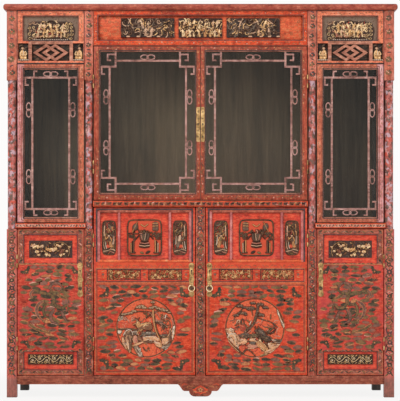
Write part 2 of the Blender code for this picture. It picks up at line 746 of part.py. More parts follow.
def add_door_knuckles(shop, door, side, post_face, heights):
    """The leaf on the door's edge, with the middle knuckle, for each hinge."""
    axis_x = side * (post_face - DOOR_GAP / 2)
    edge = post_face - DOOR_GAP
    leaf_x = spread(side, edge - BITE, edge + HINGE_LEAF)
    leaf_front = HINGE_AXIS_Y + (HINGE_BORE + HINGE_BARREL_RADIUS) / 2
    middles = [hinge_spans(z)[1] for z in heights]
    leaf_back = FACE + HINGE_LEAF_DEPTH - OVERRUN
    leaves = [((leaf_x[0], leaf_front, z0), (leaf_x[1], leaf_back, z1)) for z0, z1 in middles]
    shop.join(door, boxes(leaves))
    for z0, z1 in middles:
        outer = ring_points((0, 0), HINGE_BARREL_RADIUS, HINGE_BARREL_RADIUS, BARREL_SIDES)
        bore = ring_points((0, 0), HINGE_BORE, HINGE_BORE, BARREL_SIDES)
        place = Matrix.Translation((axis_x, HINGE_AXIS_Y, (z0 + z1) / 2))
        shop.join(door, outline([outer, bore], z1 - z0, place))


def pivot_pin(side, low_z, high_z, clearance=0.0):
    """A round pivot on the turning line of a side glazed door, or the hole for it."""
    bm = bmesh.new()
    place = (side * (SIDE_GLAZED[1] - PIVOT_SET), PIVOT_Y, (low_z + high_z) / 2)
    add_cylinder(bm, place, PIVOT_RADIUS + clearance, high_z - low_z, BARREL_SIDES)
    return bm


# Glazed doors


def four_corners(bars, width, height):
    """Bars drawn in one corner of an opening, repeated in all four; each is (u0, u1, v0, v1)."""
    made = []
    for u0, u1, v0, v1 in bars:
        for across in ((u0, u1), (width - u1, width - u0)):
            for down in ((v0, v1), (height - v1, height - v0)):
                made.append((*across, *down))
    return made


def hook_bars(start):
    """A short hook that runs down from a bar beside the frame and turns inwards."""
    low, end = FRET_HOOK_SET, start + FRET_HOOK_LENGTH
    return [
        (low, low + FRET_THIN_BAR, start - FRET_THIN_BAR, end),
        (low, low + FRET_HOOK_FOOT, end - FRET_THIN_BAR, end),
    ]


def centre_fret_bars(width, height):
    cell, bar, thin = CENTRE_FRET_CELL, FRET_BAR, FRET_THIN_BAR
    scroll_end = SCROLL_TOP_SET + SCROLL_DROP
    corner = [
        (cell - bar, cell, FIT, cell),
        (FIT, cell, cell - bar, cell),
        (SCROLL_SIDE_SET, cell, SCROLL_TOP_SET, SCROLL_TOP_SET + thin),
        (SCROLL_SIDE_SET, SCROLL_SIDE_SET + thin, SCROLL_TOP_SET, scroll_end),
        (SCROLL_SIDE_SET, SCROLL_SIDE_SET + SCROLL_FOOT, scroll_end - thin, scroll_end),
        *hook_bars(cell),
    ]
    inner, outer = CENTRE_FRET_MARGIN - bar / 2, CENTRE_FRET_MARGIN + bar / 2
    corner.append((inner, outer, cell - bar, height / 2))
    corner.append((cell - bar, width / 2, inner, outer))
    return four_corners(corner, width, height), inner


def side_fret_bars(width, height):
    bar, thin = FRET_BAR, FRET_THIN_BAR
    inner, outer = SIDE_FRET_MARGIN - bar / 2, SIDE_FRET_MARGIN + bar / 2
    stub = SIDE_FRET_STUB - thin / 2
    corner = [
        (FIT, width / 2, inner, outer),
        (inner, outer, inner, height / 2),
        (stub, stub + thin, STUB_TOP_SET, outer),
        (stub, stub + STUB_FOOT, STUB_TOP_SET, STUB_TOP_SET + thin),
        *hook_bars(outer),
    ]
    return four_corners(corner, width, height), inner


def knot_places(width, height, strip, set_in):
    """Middles of the six knots between the fret's bars and the frame: (u, v, upright)."""
    depth = strip - KNOT_WIDTH / 2 + KNOT_LAP
    places = [(width / 2, depth, False), (width / 2, height - depth, False)]
    for u in (depth, width - depth):
        places += [(u, set_in, True), (u, height - set_in, True)]
    return places


def knot_rings(places, offset, thickness, middle_y, left_x, top_z):
    """One ring of every knot: each knot is two long rings that overlap along its length."""
    proto = bpy.data.meshes.new("knot_ring")
    long, short = KNOT_RING_LENGTH / 2, KNOT_WIDTH / 2
    outer = ring_points((0, 0), long, short, KNOT_SIDES)
    inner = ring_points((0, 0), long - KNOT_BAR, short - KNOT_BAR, KNOT_SIDES)
    ring = outline([outer, inner], thickness, Matrix())
    ring.to_mesh(proto)
    ring.free()
    bm = bmesh.new()
    for u, v, upright in places:
        before = len(bm.verts)
        bm.from_mesh(proto)
        bm.verts.ensure_lookup_table()
        turn = Matrix.Rotation(math.pi / 2 if upright else 0.0, 4, "Z")
        place = Matrix.Translation((left_x + u, middle_y, top_z - v)) @ FACING_FRONT @ turn
        bmesh.ops.transform(bm, matrix=place @ Matrix.Translation((offset, 0, 0)), verts=bm.verts[before:])
    return bm


def make_fret(shop, name, opening, bars_for, set_in):
    low_x, high_x, low_z, high_z = opening
    bars, strip = bars_for(high_x - low_x, high_z - low_z)
    front = FACE + FRET_SET
    spans = [(low_x + u0, low_x + u1, high_z - v1, high_z - v0) for u0, u1, v0, v1 in bars]
    fret = shop.part(name, bar_plate(spans, front, front + FRET_THICKNESS), "fret")
    places = knot_places(high_x - low_x, high_z - low_z, strip, set_in)
    for offset, layers in ((-KNOT_RING_SPACING / 2, 1), (KNOT_RING_SPACING / 2, 2)):
        thickness = FRET_THICKNESS - 2 * layers * KNOT_SINKING
        shop.join(fret, knot_rings(places, offset, thickness, front + FRET_THICKNESS / 2, low_x, high_z))
    return fret


def make_glazed_door(shop, name, side, edges, framing, fret_bars, knot_set):
    near, far, low_z, high_z = edges
    inner_stile, foot_rail = framing
    low_x, high_x = spread(side, near, far)
    open_x = spread(side, near + inner_stile, far - GLAZED_STILE)
    opening = (*open_x, low_z + foot_rail, high_z - GLAZED_TOP_RAIL)
    back = FACE + GLAZED_DOOR_THICKNESS

    def hollow(grow, low_y, high_y):
        low = (opening[0] - grow, low_y, opening[2] - grow)
        return box(low, (opening[1] + grow, high_y, opening[3] + grow))

    frame = shop.part(f"{name}_frame", box((low_x, FACE, low_z), (high_x, back, high_z)), "lacquer")
    pane_front = FACE + FRET_SET + FRET_THICKNESS + FIT
    shop.cut(frame, hollow(0.0, FACE - OVERRUN, back + OVERRUN))
    shop.cut(frame, hollow(GLAZING_LIP, FACE - OVERRUN, FACE + GLAZING_LIP_SINKING))
    shop.cut(frame, hollow(PANE_BITE, pane_front - FIT, pane_front + PANE_THICKNESS + FIT))
    sheet = hollow(PANE_BITE - FIT, pane_front, pane_front + PANE_THICKNESS)
    pane = shop.part(f"{name}_pane", sheet, "glass")
    fret = make_fret(shop, f"{name}_fret", opening, fret_bars, knot_set)
    return frame, pane, fret


def make_lock_strip(shop, name, side):
    """Half of a tall lock plate, with its straight edge at the meeting gap."""
    end, corner = STRIP_LENGTH / 2, STRIP_CHAMFER
    start = CENTRE_GLAZED[0] + STRIP_EDGE
    stop = start + STRIP_WIDTH
    foot = [(start, -end), (stop - corner, -end), (stop, corner - end)]
    loop = foot + [(u, -v) for u, v in reversed(foot)]
    place = Matrix.Translation((0, PLATE_FRONT + PLATE_THICKNESS / 2, STRIP_HEIGHT)) @ FACING_FRONT
    return shop.part(name, outline([[(side * u, v) for u, v in loop]], PLATE_THICKNESS, place), "brass")


def make_glazed_doors(shop):
    for word, side in SIDES.items():
        name = f"glazed_door_centre_{word}"
        framing = MEETING_STILE, CENTRE_DOOR_FOOT_RAIL
        pieces = make_glazed_door(shop, name, side, CENTRE_GLAZED, framing, centre_fret_bars, CENTRE_KNOT_SET)
        strip = make_lock_strip(shop, f"lock_strip_{word}", side)
        heights = CENTRE_GLAZED[2] + GLAZED_HINGE_FOOT_SET, CENTRE_GLAZED[3] - GLAZED_HINGE_TOP_SET
        hang_on_hinges(shop, name, (*pieces, strip), side, INNER_POST_FACE, heights)
        name = f"glazed_door_side_{word}"
        framing = GLAZED_STILE, SIDE_DOOR_FOOT_RAIL
        pieces = make_glazed_door(shop, name, side, SIDE_GLAZED, framing, side_fret_bars, SIDE_KNOT_SET)
        low_z, high_z = SIDE_GLAZED[2:]
        reach = PIVOT_LENGTH + DOOR_GAP - FIT
        shop.join(pieces[0], pivot_pin(side, low_z - reach, low_z + OVERRUN))
        shop.join(pieces[0], pivot_pin(side, high_z - OVERRUN, high_z + reach))
        shop.pivot(f"{name}_axis", (side * (SIDE_GLAZED[1] - PIVOT_SET), PIVOT_Y, low_z), pieces)


def hang_on_hinges(shop, name, pieces, side, post_face, heights):
    add_door_knuckles(shop, pieces[0], side, post_face, heights)
    for end, middle_z in zip(("foot", "top"), heights):
        make_hinge(shop, f"{name}_hinge_{end}", side, post_face, middle_z)
    axis_x = side * (post_face - DOOR_GAP / 2)
    shop.pivot(f"{name}_axis", (axis_x, HINGE_AXIS_Y, heights[0]), pieces)


# Cupboard doors


def sinking(side, near, far, low_z, high_z):
    low_x, high_x = spread(side, near, far)
    return (low_x, FACE - OVERRUN, low_z), (high_x, FACE + PANEL_RECESS, high_z)


def make_centre_cupboard_door(shop, word, side):
    near, far, low_z, high_z = CENTRE_CUPBOARD
    low_x, high_x = spread(side, near, far)
    back = FACE + CUPBOARD_DOOR_THICKNESS
    bm = box((low_x, FACE, low_z), (high_x, back, high_z))
    door = shop.part(f"cupboard_door_centre_{word}", bm, "door")
    top, foot = high_z - UPPER_PANEL_TOP, high_z - UPPER_PANEL_TOP - UPPER_PANEL_HEIGHT
    a, b = near + CENTRE_DOOR_BORDER, far - CENTRE_DOOR_BORDER
    inner = UPPER_SIDE_PANEL_WIDTH + UPPER_MUNTIN
    sinkings = [
        sinking(side, a, a + UPPER_SIDE_PANEL_WIDTH, foot, top),
        sinking(side, a + inner, b - inner, foot, top),
        sinking(side, b - UPPER_SIDE_PANEL_WIDTH, b, foot, top),
    ]
    middle = (near + far) / 2
    band_top = high_z - BAND_PANEL_TOP
    band_foot = band_top - BAND_PANEL_HEIGHT
    for start in (middle - BAND_PANEL_GAP / 2 - BAND_PANEL_WIDTH, middle + BAND_PANEL_GAP / 2):
        sinkings.append(sinking(side, start, start + BAND_PANEL_WIDTH, band_foot, band_top))
    shop.cut(door, boxes(sinkings))
    medallion = bmesh.new()
    depth = PANEL_RECESS + OVERRUN
    place = (side * (middle - MEDALLION_SHIFT), FACE + PANEL_RECESS - depth / 2, low_z + MEDALLION_HEIGHT)
    add_cylinder(medallion, place, MEDALLION_RADIUS, depth, MEDALLION_SIDES, "Y")
    shop.cut(door, medallion)
    return door


def make_side_cupboard_door(shop, word, side):
    near, far, low_z, high_z = SIDE_CUPBOARD
    low_x, high_x = spread(side, near, far)
    back = FACE + CUPBOARD_DOOR_THICKNESS
    bm = box((low_x, FACE, low_z), (high_x, back, high_z))
    door = shop.part(f"cupboard_door_side_{word}", bm, "door")
    a, b = near + SIDE_DOOR_BORDER, far - SIDE_DOOR_BORDER
    top, foot = high_z - SIDE_TOP_PANEL_SET, low_z + SIDE_FOOT_PANEL_SET
    sinkings = [
        sinking(side, a, b, top - SIDE_TOP_PANEL_HEIGHT, top),
        sinking(side, a, b, foot, foot + SIDE_FOOT_PANEL_HEIGHT),
    ]
    shop.cut(door, boxes(sinkings))
    return door


def plate_outline():
    """Half widths along the plate: a straight strip with a round lobe at the middle and at each end."""
    lobe, waist = PLATE_WIDTH / 2, PLATE_WAIST / 2
    end = PLATE_LENGTH / 2
    lobes = (-end + lobe, 0.0, end - lobe)
    right = []
    for i in range(PLATE_STEPS + 1):
        v = -end * math.cos(math.pi * i / PLATE_STEPS)
        reach = [math.sqrt(max(0.0, lobe**2 - (v - middle) ** 2)) for middle in lobes]
        strip = waist if lobes[0] <= v <= lobes[-1] else 0.0
        right.append((max(*reach, strip), v))
    left = [(-u, v) for u, v in reversed(right) if u > BITE]
    return [(u, v) for u, v in right] + left


def make_lock_plate(shop, name, side, near):
    middle_x = side * (near + PLATE_EDGE + PLATE_WIDTH / 2)
    place = Matrix.Translation((middle_x, PLATE_FRONT + PLATE_THICKNESS / 2, PLATE_HEIGHT)) @ FACING_FRONT
    plate = shop.part(name, outline([plate_outline()], PLATE_THICKNESS, place), "brass")
    staple_z = PLATE_HEIGHT - STAPLE_DROP
    turn = Matrix.Rotation(math.pi / 2, 4, "Y")
    place = Matrix.Translation((middle_x, RING_Y, staple_z)) @ turn
    shop.join(plate, torus(STAPLE_RADIUS, STAPLE_BAR_RADIUS, place, STAPLE_SIDES, BAR_SIDES))
    return plate, middle_x


def make_ring_pull(shop, word, middle_x):
    place = Matrix.Translation((middle_x, RING_Y, RING_Z - RING_RADIUS)) @ FACING_FRONT
    bm = torus(RING_RADIUS, RING_BAR_RADIUS, place, RING_SIDES, BAR_SIDES)
    ring = shop.part(f"ring_pull_{word}", bm, "brass")
    ring.data.shade_smooth()
    shop.pivot(f"ring_pull_{word}_axis", (middle_x, RING_Y, RING_Z), [ring])


def make_cupboard_doors(shop):
    for word, side in SIDES.items():
        door = make_centre_cupboard_door(shop, word, side)
        plate, middle_x = make_lock_plate(shop, f"lock_plate_centre_{word}", side, CENTRE_CUPBOARD[0])
        heights = CENTRE_CUPBOARD[2] + CENTRE_HINGE_FOOT_SET, CENTRE_CUPBOARD[3] - CENTRE_HINGE_TOP_SET
        hang_on_hinges(shop, door.name, (door, plate), side, INNER_POST_FACE, heights)
        make_ring_pull(shop, word, middle_x)
        door = make_side_cupboard_door(shop, word, side)
        plate, _ = make_lock_plate(shop, f"lock_plate_side_{word}", side, SIDE_CUPBOARD[0])
        heights = SIDE_CUPBOARD[2] + SIDE_HINGE_FOOT_SET, SIDE_CUPBOARD[3] - SIDE_HINGE_TOP_SET
        hang_on_hinges(shop, door.name, (door, plate), side, OUTER_POST_FACE, heights)


def main():
    clear_scene()
    shop = Workshop()
    make_cornice(shop)
    make_posts(shop)
    make_side_panels(shop)
    make_back_panel(shop)
    make_boards(shop)
    make_display_floors(shop)
    make_base_rail(shop)
    make_frieze(shop)
    make_transoms(shop)
    make_mullion(shop)
    make_glazed_doors(shop)
    make_cupboard_doors(shop)


if __name__ == "__main__":
    main()
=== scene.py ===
import json
import math

import bpy
import numpy as np
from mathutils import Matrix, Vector


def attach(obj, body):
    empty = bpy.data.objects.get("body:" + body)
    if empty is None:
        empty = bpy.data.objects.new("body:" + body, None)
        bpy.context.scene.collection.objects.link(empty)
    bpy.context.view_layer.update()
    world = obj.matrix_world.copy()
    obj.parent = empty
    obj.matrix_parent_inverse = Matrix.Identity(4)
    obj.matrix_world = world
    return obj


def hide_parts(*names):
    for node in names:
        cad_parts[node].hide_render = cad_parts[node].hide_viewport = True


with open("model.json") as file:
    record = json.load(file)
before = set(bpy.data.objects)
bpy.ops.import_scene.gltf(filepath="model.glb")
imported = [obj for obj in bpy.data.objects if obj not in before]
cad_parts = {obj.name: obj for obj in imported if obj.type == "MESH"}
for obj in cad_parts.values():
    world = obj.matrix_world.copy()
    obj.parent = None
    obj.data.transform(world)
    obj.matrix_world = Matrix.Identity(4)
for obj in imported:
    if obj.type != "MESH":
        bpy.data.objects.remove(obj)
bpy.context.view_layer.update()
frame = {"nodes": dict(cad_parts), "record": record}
nodes = frame["nodes"]
record = frame["record"]
bodyOf = {node: body for body, members in record["behaviour"]["bodies"].items() for node in members}
slotOf = {row["node"]: row["material_slot"] for row in record["subparts"]}
sides = {"left": -1, "right": 1}


# How far forward each face of the front lies

postFront = -0.241
doorFront = -0.237
boardFront = -0.2147
sunkFront = -0.231
plateFront = -0.2393
waistFront = -0.251
carvingBack = -0.2314
boardBack = -0.2212


# Spots that several pieces share, on the right-hand half

sideMiddle = 0.8
discMiddle = (0.2909, 0.3711)
vaseMiddle = (0.29895, 0.8523)
bandHeight = 0.6566
plateAt = dict(centre=0.04785, side=0.6425)
stripAt = 0.0125
stileEdge = 0.9405
latticeAcross = (0.6813, 0.9187)
latticeUp = (1.797, 1.9027)


# Camera: level, facing the front, far enough off for turned views to stay in the frame

cameraSet = dict(distance=10.0, height=0.88, lens=168.2, shift=(-0.0012, 0.08))


def setCamera():
    lens = bpy.data.cameras.new("frontCamera")
    lens.lens = cameraSet["lens"]
    lens.shift_x, lens.shift_y = cameraSet["shift"]
    camera = bpy.data.objects.new("frontCamera", lens)
    camera.location = (0, postFront - cameraSet["distance"], cameraSet["height"])
    camera.rotation_euler = (math.pi / 2, 0, 0)
    bpy.context.scene.collection.objects.link(camera)
    bpy.context.scene.camera = camera


setCamera()
print("camera set")


# Small helpers

def tone(red, green, blue):
    # screen colour, 0 to 255, to the linear colour that a socket takes
    def linear(value):
        value = value / 255
        return value / 12.92 if value <= 0.04045 else ((value + 0.055) / 1.055) ** 2.4
    return (linear(red), linear(green), linear(blue), 1.0)


def letGo():
    if bpy.context.object and bpy.context.object.mode != "OBJECT":
        bpy.ops.object.mode_set(mode="OBJECT")
    bpy.ops.object.select_all(action="DESELECT")


def pick(obj):
    letGo()
    obj.select_set(True)
    bpy.context.view_layer.objects.active = obj


def settle(obj, body, slot, *finishes):
    # materials and the body that carries it; slot is not used
    obj.data.materials.clear()
    for finish in finishes:
        obj.data.materials.append(finish)
    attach(obj, body)
    return obj


# Materials: a wire is one socket, and sums on wires add Math nodes

class Wire:
    def __init__(self, paint, socket):
        self.paint = paint
        self.socket = socket

    def maths(self, operation, first, second):
        return self.paint.add("ShaderNodeMath", {"operation": operation}, {0: first, 1: second})

    def __add__(self, other):
        return self.maths("ADD", self, other)

    def __radd__(self, other):
        return self.maths("ADD", other, self)

    def __sub__(self, other):
        return self.maths("SUBTRACT", self, other)

    def __rsub__(self, other):
        return self.maths("SUBTRACT", other, self)

    def __mul__(self, other):
        return self.maths("MULTIPLY", self, other)

    def __rmul__(self, other):
        return self.maths("MULTIPLY", other, self)


class Paint:
    def __init__(self, name, fixed=None):
        self.material = bpy.data.materials.new(name)
        self.material.use_nodes = True
        self.tree = self.material.node_tree
        self.shader = self.tree.nodes["Principled BSDF"]
        for socket, value in (fixed or {}).items():
            self.shader.inputs[socket].default_value = value
        self.spot = self.add("ShaderNodeTexCoord", {}, {}, "Object")

    def add(self, kind, settings, sockets, out=0):
        node = self.tree.nodes.new(kind)
        for key, value in settings.items():
            if key == "stops":
                elements = node.color_ramp.elements
                while len(elements) < len(value):
                    elements.new(1.0)
                for element, (place, colour) in zip(elements, value):
                    element.position = place
                    element.color = colour
            else:
                setattr(node, key, value)
        for key, value in sockets.items():
            if isinstance(value, Wire):
                self.tree.links.new(value.socket, node.inputs[key])
            else:
                node.inputs[key].default_value = value
        return Wire(self, node.outputs[out])

    def feed(self, **wires):
        for key, wire in wires.items():
            self.tree.links.new(wire.socket, self.shader.inputs[key.replace("_", " ")])
        return self.material

    def stretched(self, stretch):
        return self.add("ShaderNodeVectorMath", {"operation": "MULTIPLY"}, {0: self.spot, 1: stretch})

    def noise(self, scale, detail=4.0, rough=0.55, stretch=None, twist=0.0):
        spot = self.stretched(stretch) if stretch else self.spot
        values = {"Vector": spot, "Scale": scale, "Detail": detail, "Roughness": rough, "Distortion": twist}
        return self.add("ShaderNodeTexNoise", {}, values)

    def ramp(self, value, stops):
        return self.add("ShaderNodeValToRGB", {"stops": stops}, {0: value})

    def step(self, value, low, high):
        # 0 under low, 1 over high, smooth between
        settings = {"interpolation_type": "SMOOTHSTEP"}
        return self.add("ShaderNodeMapRange", settings, {0: value, 1: low, 2: high})

    def mix(self, share, first, second, blend="MIX"):
        settings = {"data_type": "RGBA", "blend_type": blend}
        return self.add("ShaderNodeMix", settings, {0: share, 6: first, 7: second}, 2)

    def corners(self, reach):
        # 1 deep in a corner, 0 in the open: where grime gathers and shade falls, both painted in as one
        #                                    dark
        shut = self.add("ShaderNodeAmbientOcclusion", {"samples": 4}, {"Distance": reach}, "AO")
        return 1 - self.step(shut, 0.35, 0.92)

    def bump(self, height, strength, distance):
        return self.add("ShaderNodeBump", {},
                        {"Height": height, "Strength": strength, "Distance": distance})


def lacquer(name, shades, grain, wear=0.5, gloss=0.45, fleck=0.5, blush=0.0):
    # old lacquer: cloudy reds, streaks along the grain, worn sprigs, rubbed patches, dark specks, and grime
    # with painted shade deep in the corners
    paint = Paint(name, {"Specular IOR Level": 0.2})
    colour, rough, height = lacquerCoat(paint, shades, grain, wear, gloss, fleck)
    pinker = paint.step(paint.noise(19.0, 2.0, 0.5), 0.5, 0.64) * blush
    colour = paint.mix(pinker, colour, paint.mix(0.6, colour, tone(206, 78, 76)))
    return paint.feed(Base_Color=colour, Roughness=rough, Normal=paint.bump(height, 0.35, 0.0006))


def lacquerCoat(paint, shades, grain, wear, gloss, fleck):
    deep, main, bright, worn = (tone(*shade) for shade in shades)
    cloudy = paint.noise(6.0, 5.0, 0.62)
    blotch = paint.noise(30.0, 5.0, 0.64)
    streak = paint.noise(1.0, 3.0, 0.6, grain)
    grit = paint.noise(330.0, 2.0, 0.5)
    depth = cloudy * 0.36 + blotch * 0.4 + streak * 0.24
    colour = paint.ramp(depth, [(0.39, deep), (0.5, main), (0.6, bright)])
    sprigs = paint.step(paint.noise(74.0, 3.0, 0.5), 0.55, 0.63)
    colour = paint.mix(sprigs * 0.62 * fleck, colour, tone(98, 58, 38))
    glints = paint.step(paint.noise(88.0, 3.0, 0.5), 0.59, 0.67)
    colour = paint.mix(glints * 0.6 * fleck, colour, tone(218, 142, 104))
    rubbed = paint.step(blotch * 0.5 + streak * 0.3 + grit * 0.2, 0.61 - 0.12 * wear, 0.72 - 0.12 * wear)
    colour = paint.mix(rubbed * 0.7, colour, worn)
    specks = paint.step(paint.noise(130.0, 3.0, 0.6), 0.62, 0.7)
    colour = paint.mix(specks * 0.55, colour, tone(62, 30, 22))
    run = tuple(42.0 if value < 20 else 122.0 for value in grain)
    mottle = paint.step(paint.noise(1.0, 2.0, 0.5, run), 0.4, 0.6)
    shaded = paint.ramp(mottle, [(0.0, (0.86, 0.82, 0.8, 1)), (1.0, (1.0, 1.0, 1.0, 1))])
    colour = paint.mix(1.0, colour, shaded, "MULTIPLY")
    colour = paint.mix(paint.step(mottle, 0.6, 1.0) * 0.1, colour, tone(250, 160, 112))
    # grime and painted shade: dark brown laid into corners and between parts
    colour = paint.mix(paint.corners(0.013) * 0.8, colour, tone(46, 22, 15))
    rough = gloss + 0.22 * rubbed + 0.12 * (blotch - 0.5)
    return colour, rough, streak * 0.5 + grit * 0.25 + rubbed * 0.25


columnPatches = [
    ((46.0, 46.0, 34.0), 0.53, tone(94, 88, 76)),
    ((38.0, 42.0, 31.0), 0.57, tone(216, 88, 66)),
    ((34.0, 45.0, 37.0), 0.565, tone(204, 172, 182)),
    ((72.0, 68.0, 52.0), 0.57, tone(74, 56, 46)),
]


def postLacquer(name, low, high, fleck):
    # posts: dull red below, pinker above, and the round columns marbled between
    paint = Paint(name, {"Specular IOR Level": 0.25})
    foot, rough, height = lacquerCoat(paint, low, uprightGrain, 0.6, 0.45, fleck)
    head = lacquerCoat(paint, high, uprightGrain, 0.8, 0.45, 0.4)[0]
    place = paint.add("ShaderNodeSeparateXYZ", {}, {0: paint.spot}, "Z")
    colour = paint.mix(paint.step(place, 1.688, 1.694), foot, head)
    colour = paint.mix(0.5 - 0.5 * paint.step(place, 0.09, 0.12), colour, tone(128, 106, 96))
    marble = paint.noise(1.0, 2.0, 0.5, (34.0, 34.0, 30.0), 0.4)
    streaks = paint.noise(1.0, 2.0, 0.5, (150.0, 150.0, 60.0), 0.8)
    stops = [(0.36, tone(140, 74, 64)), (0.46, tone(182, 92, 82)), (0.54, tone(192, 116, 108)),
             (0.64, tone(222, 172, 166))]
    column = paint.ramp(marble * 0.7 + streaks * 0.3, stops)
    for stretch, start, patch in columnPatches:
        spots = paint.noise(1.0, 2.0, 0.5, stretch, 0.3)
        column = paint.mix(paint.step(spots, start, start + 0.06) * 0.8, column, patch)
    colour = paint.mix(paint.step(place, 0.8965, 0.9) * (1 - paint.step(place, 1.6915, 1.6945)), colour,
                       column)
    return paint.feed(Base_Color=colour, Roughness=rough, Normal=paint.bump(height, 0.35, 0.0006))


acrossGrain = (9.0, 120.0, 120.0)
uprightGrain = (120.0, 120.0, 9.0)
outerLow = ((146, 74, 62), (202, 97, 85), (224, 116, 104), (222, 156, 144))
innerLow = ((104, 48, 34), (160, 70, 54), (188, 86, 68), (206, 128, 108))
postHigh = ((146, 78, 60), (198, 102, 80), (218, 124, 100), (230, 164, 144))
reds = dict(
    cornice=lacquer("corniceLacquer", ((130, 52, 39), (170, 77, 61), (192, 99, 80), (200, 126, 106)),
                    acrossGrain, 0.6),
    frame=lacquer("frameLacquer", ((154, 46, 26), (222, 76, 40), (238, 96, 52), (222, 132, 92)),
                  acrossGrain, 0.45, fleck=0.75),
    ground=lacquer("friezeGround", ((180, 70, 40), (228, 100, 60), (240, 120, 74), (232, 150, 106)),
                   acrossGrain, 0.4, fleck=0.6),
    transom=lacquer("transomLacquer", ((186, 86, 60), (240, 130, 94), (246, 150, 114), (242, 178, 146)),
                    acrossGrain, 0.6, fleck=0.7),
    upright=lacquer("uprightLacquer", ((124, 48, 33), (170, 70, 49), (194, 90, 66), (212, 132, 108)),
                    uprightGrain, 0.55),
    pale=lacquer("paleStileLacquer", ((166, 92, 90), (220, 147, 147), (232, 170, 170), (244, 206, 202)),
                 uprightGrain, 0.8, fleck=0.7),
    warm=lacquer("warmStileLacquer", ((150, 72, 56), (206, 110, 82), (224, 132, 102), (236, 172, 144)),
                 uprightGrain, 0.7, fleck=0.8),
    outer=postLacquer("outerPostLacquer", outerLow, postHigh, 0.5),
    inner=postLacquer("innerPostLacquer", innerLow, postHigh, 0.6),
    mullion=lacquer("mullionLacquer", innerLow, uprightGrain, 0.6, 0.45, 0.6),
    field=lacquer("fieldLacquer", ((156, 46, 28), (218, 70, 42), (234, 84, 48), (216, 112, 76)),
                  acrossGrain, 0.3, fleck=0.5, blush=0.45),
    sideField=lacquer("sideFieldLacquer", ((146, 50, 38), (208, 68, 52), (226, 84, 62), (204, 116, 94)),
                      acrossGrain, 0.35, fleck=0.5, blush=0.9),
    panel=lacquer("panelLacquer", ((158, 46, 34), (232, 76, 54), (244, 94, 66), (214, 116, 92)),
                  acrossGrain, 0.3, fleck=0.4, blush=0.35),
    base=lacquer("baseLacquer", ((104, 52, 38), (150, 75, 57), (174, 92, 72), (186, 124, 102)), acrossGrain,
                 0.6),
    mauve=lacquer("mauvePaint", ((134, 84, 68), (186, 122, 100), (210, 146, 122), (224, 180, 156)),
                  acrossGrain, 0.7, fleck=0.3),
    border=lacquer("borderPaint", ((112, 60, 46), (168, 84, 68), (192, 104, 86), (212, 146, 124)),
                   acrossGrain, 0.7, fleck=0.9),
    edge=lacquer("wornEdge", ((160, 66, 48), (208, 106, 80), (226, 136, 106), (238, 184, 158)), acrossGrain,
                 0.9, 0.5),
    fret=lacquer("fretPaint", ((108, 74, 68), (168, 125, 116), (198, 156, 148), (212, 176, 166)),
                 acrossGrain, 0.7, 0.5, 0.2),
    dark=lacquer("darkGround", ((40, 36, 30), (64, 58, 50), (88, 80, 68), (114, 100, 84)), acrossGrain, 0.4,
                 0.55, 0.0),
)
print("lacquers mixed")


def timber(name, dark, pale, grain, gloss, raised=True):
    # plain wood: long grain lines, pores and darker boards
    paint = Paint(name, {"Specular IOR Level": 0.35})
    wave = paint.noise(1.0, 4.0, 0.6, grain, 0.6)
    pores = paint.noise(2.6, 2.0, 0.5, tuple(3 * value for value in grain))
    broad = paint.noise(3.0, 3.0, 0.5)
    colour = paint.ramp(wave * 0.6 + pores * 0.2 + broad * 0.2, [(0.34, dark), (0.62, pale)])
    rough = gloss + 0.15 * (pores - 0.5)
    paint.feed(Base_Color=colour, Roughness=rough)
    if raised:
        paint.feed(Normal=paint.bump(wave * 0.6 + pores * 0.4, 0.4, 0.0007))
    return paint.material


woods = dict(
    case=timber("caseWood", tone(40, 33, 30), tone(74, 62, 56), (70.0, 70.0, 5.0), 0.52),
    inside=timber("insideWood", tone(66, 54, 42), tone(104, 86, 66), (40.0, 4.0, 40.0), 0.6, False),
    back=timber("insideBack", tone(72, 62, 51), tone(114, 99, 79), (26.0, 26.0, 1.6), 0.6, False),
)


def agedBrass(name, dull, main, bright):
    paint = Paint(name, {"Metallic": 0.85})
    cloudy = paint.noise(42.0, 5.0, 0.62)
    fine = paint.noise(420.0, 2.0, 0.5)
    colour = paint.ramp(cloudy, [(0.34, dull), (0.5, main), (0.66, bright)])
    rough = 0.38 + 0.3 * (1 - cloudy) + 0.08 * fine
    return paint.feed(Base_Color=colour, Roughness=rough,
                      Normal=paint.bump(cloudy * 0.6 + fine * 0.4, 0.3, 0.0004))


def paneGlass():
    fixed = {"Transmission Weight": 1.0, "IOR": 1.27, "Roughness": 0.02}
    paint = Paint("paneGlass", fixed)
    smear = paint.noise(2.2, 3.0, 0.5, (1.0, 1.0, 0.35))
    colour = paint.mix(paint.step(smear, 0.3, 0.7), tone(222, 218, 204), tone(242, 240, 230))
    return paint.feed(Base_Color=colour)


brass = agedBrass("agedBrass", tone(108, 88, 54), tone(174, 136, 88), tone(214, 180, 126))
# the ring pull is rubbed by hands, and its brass is also painted paler than the plate's as a highlight
rubbedLitRingBrass = agedBrass("rubbedAndLitBrass", tone(198, 164, 122), tone(240, 214, 172), tone(252, 238, 212))
glass = paneGlass()
print("wood, brass and glass mixed")


# Boards and frames: a copy of the solid with its edges eased, so that they catch the light

foldAngle = math.radians(34.0)


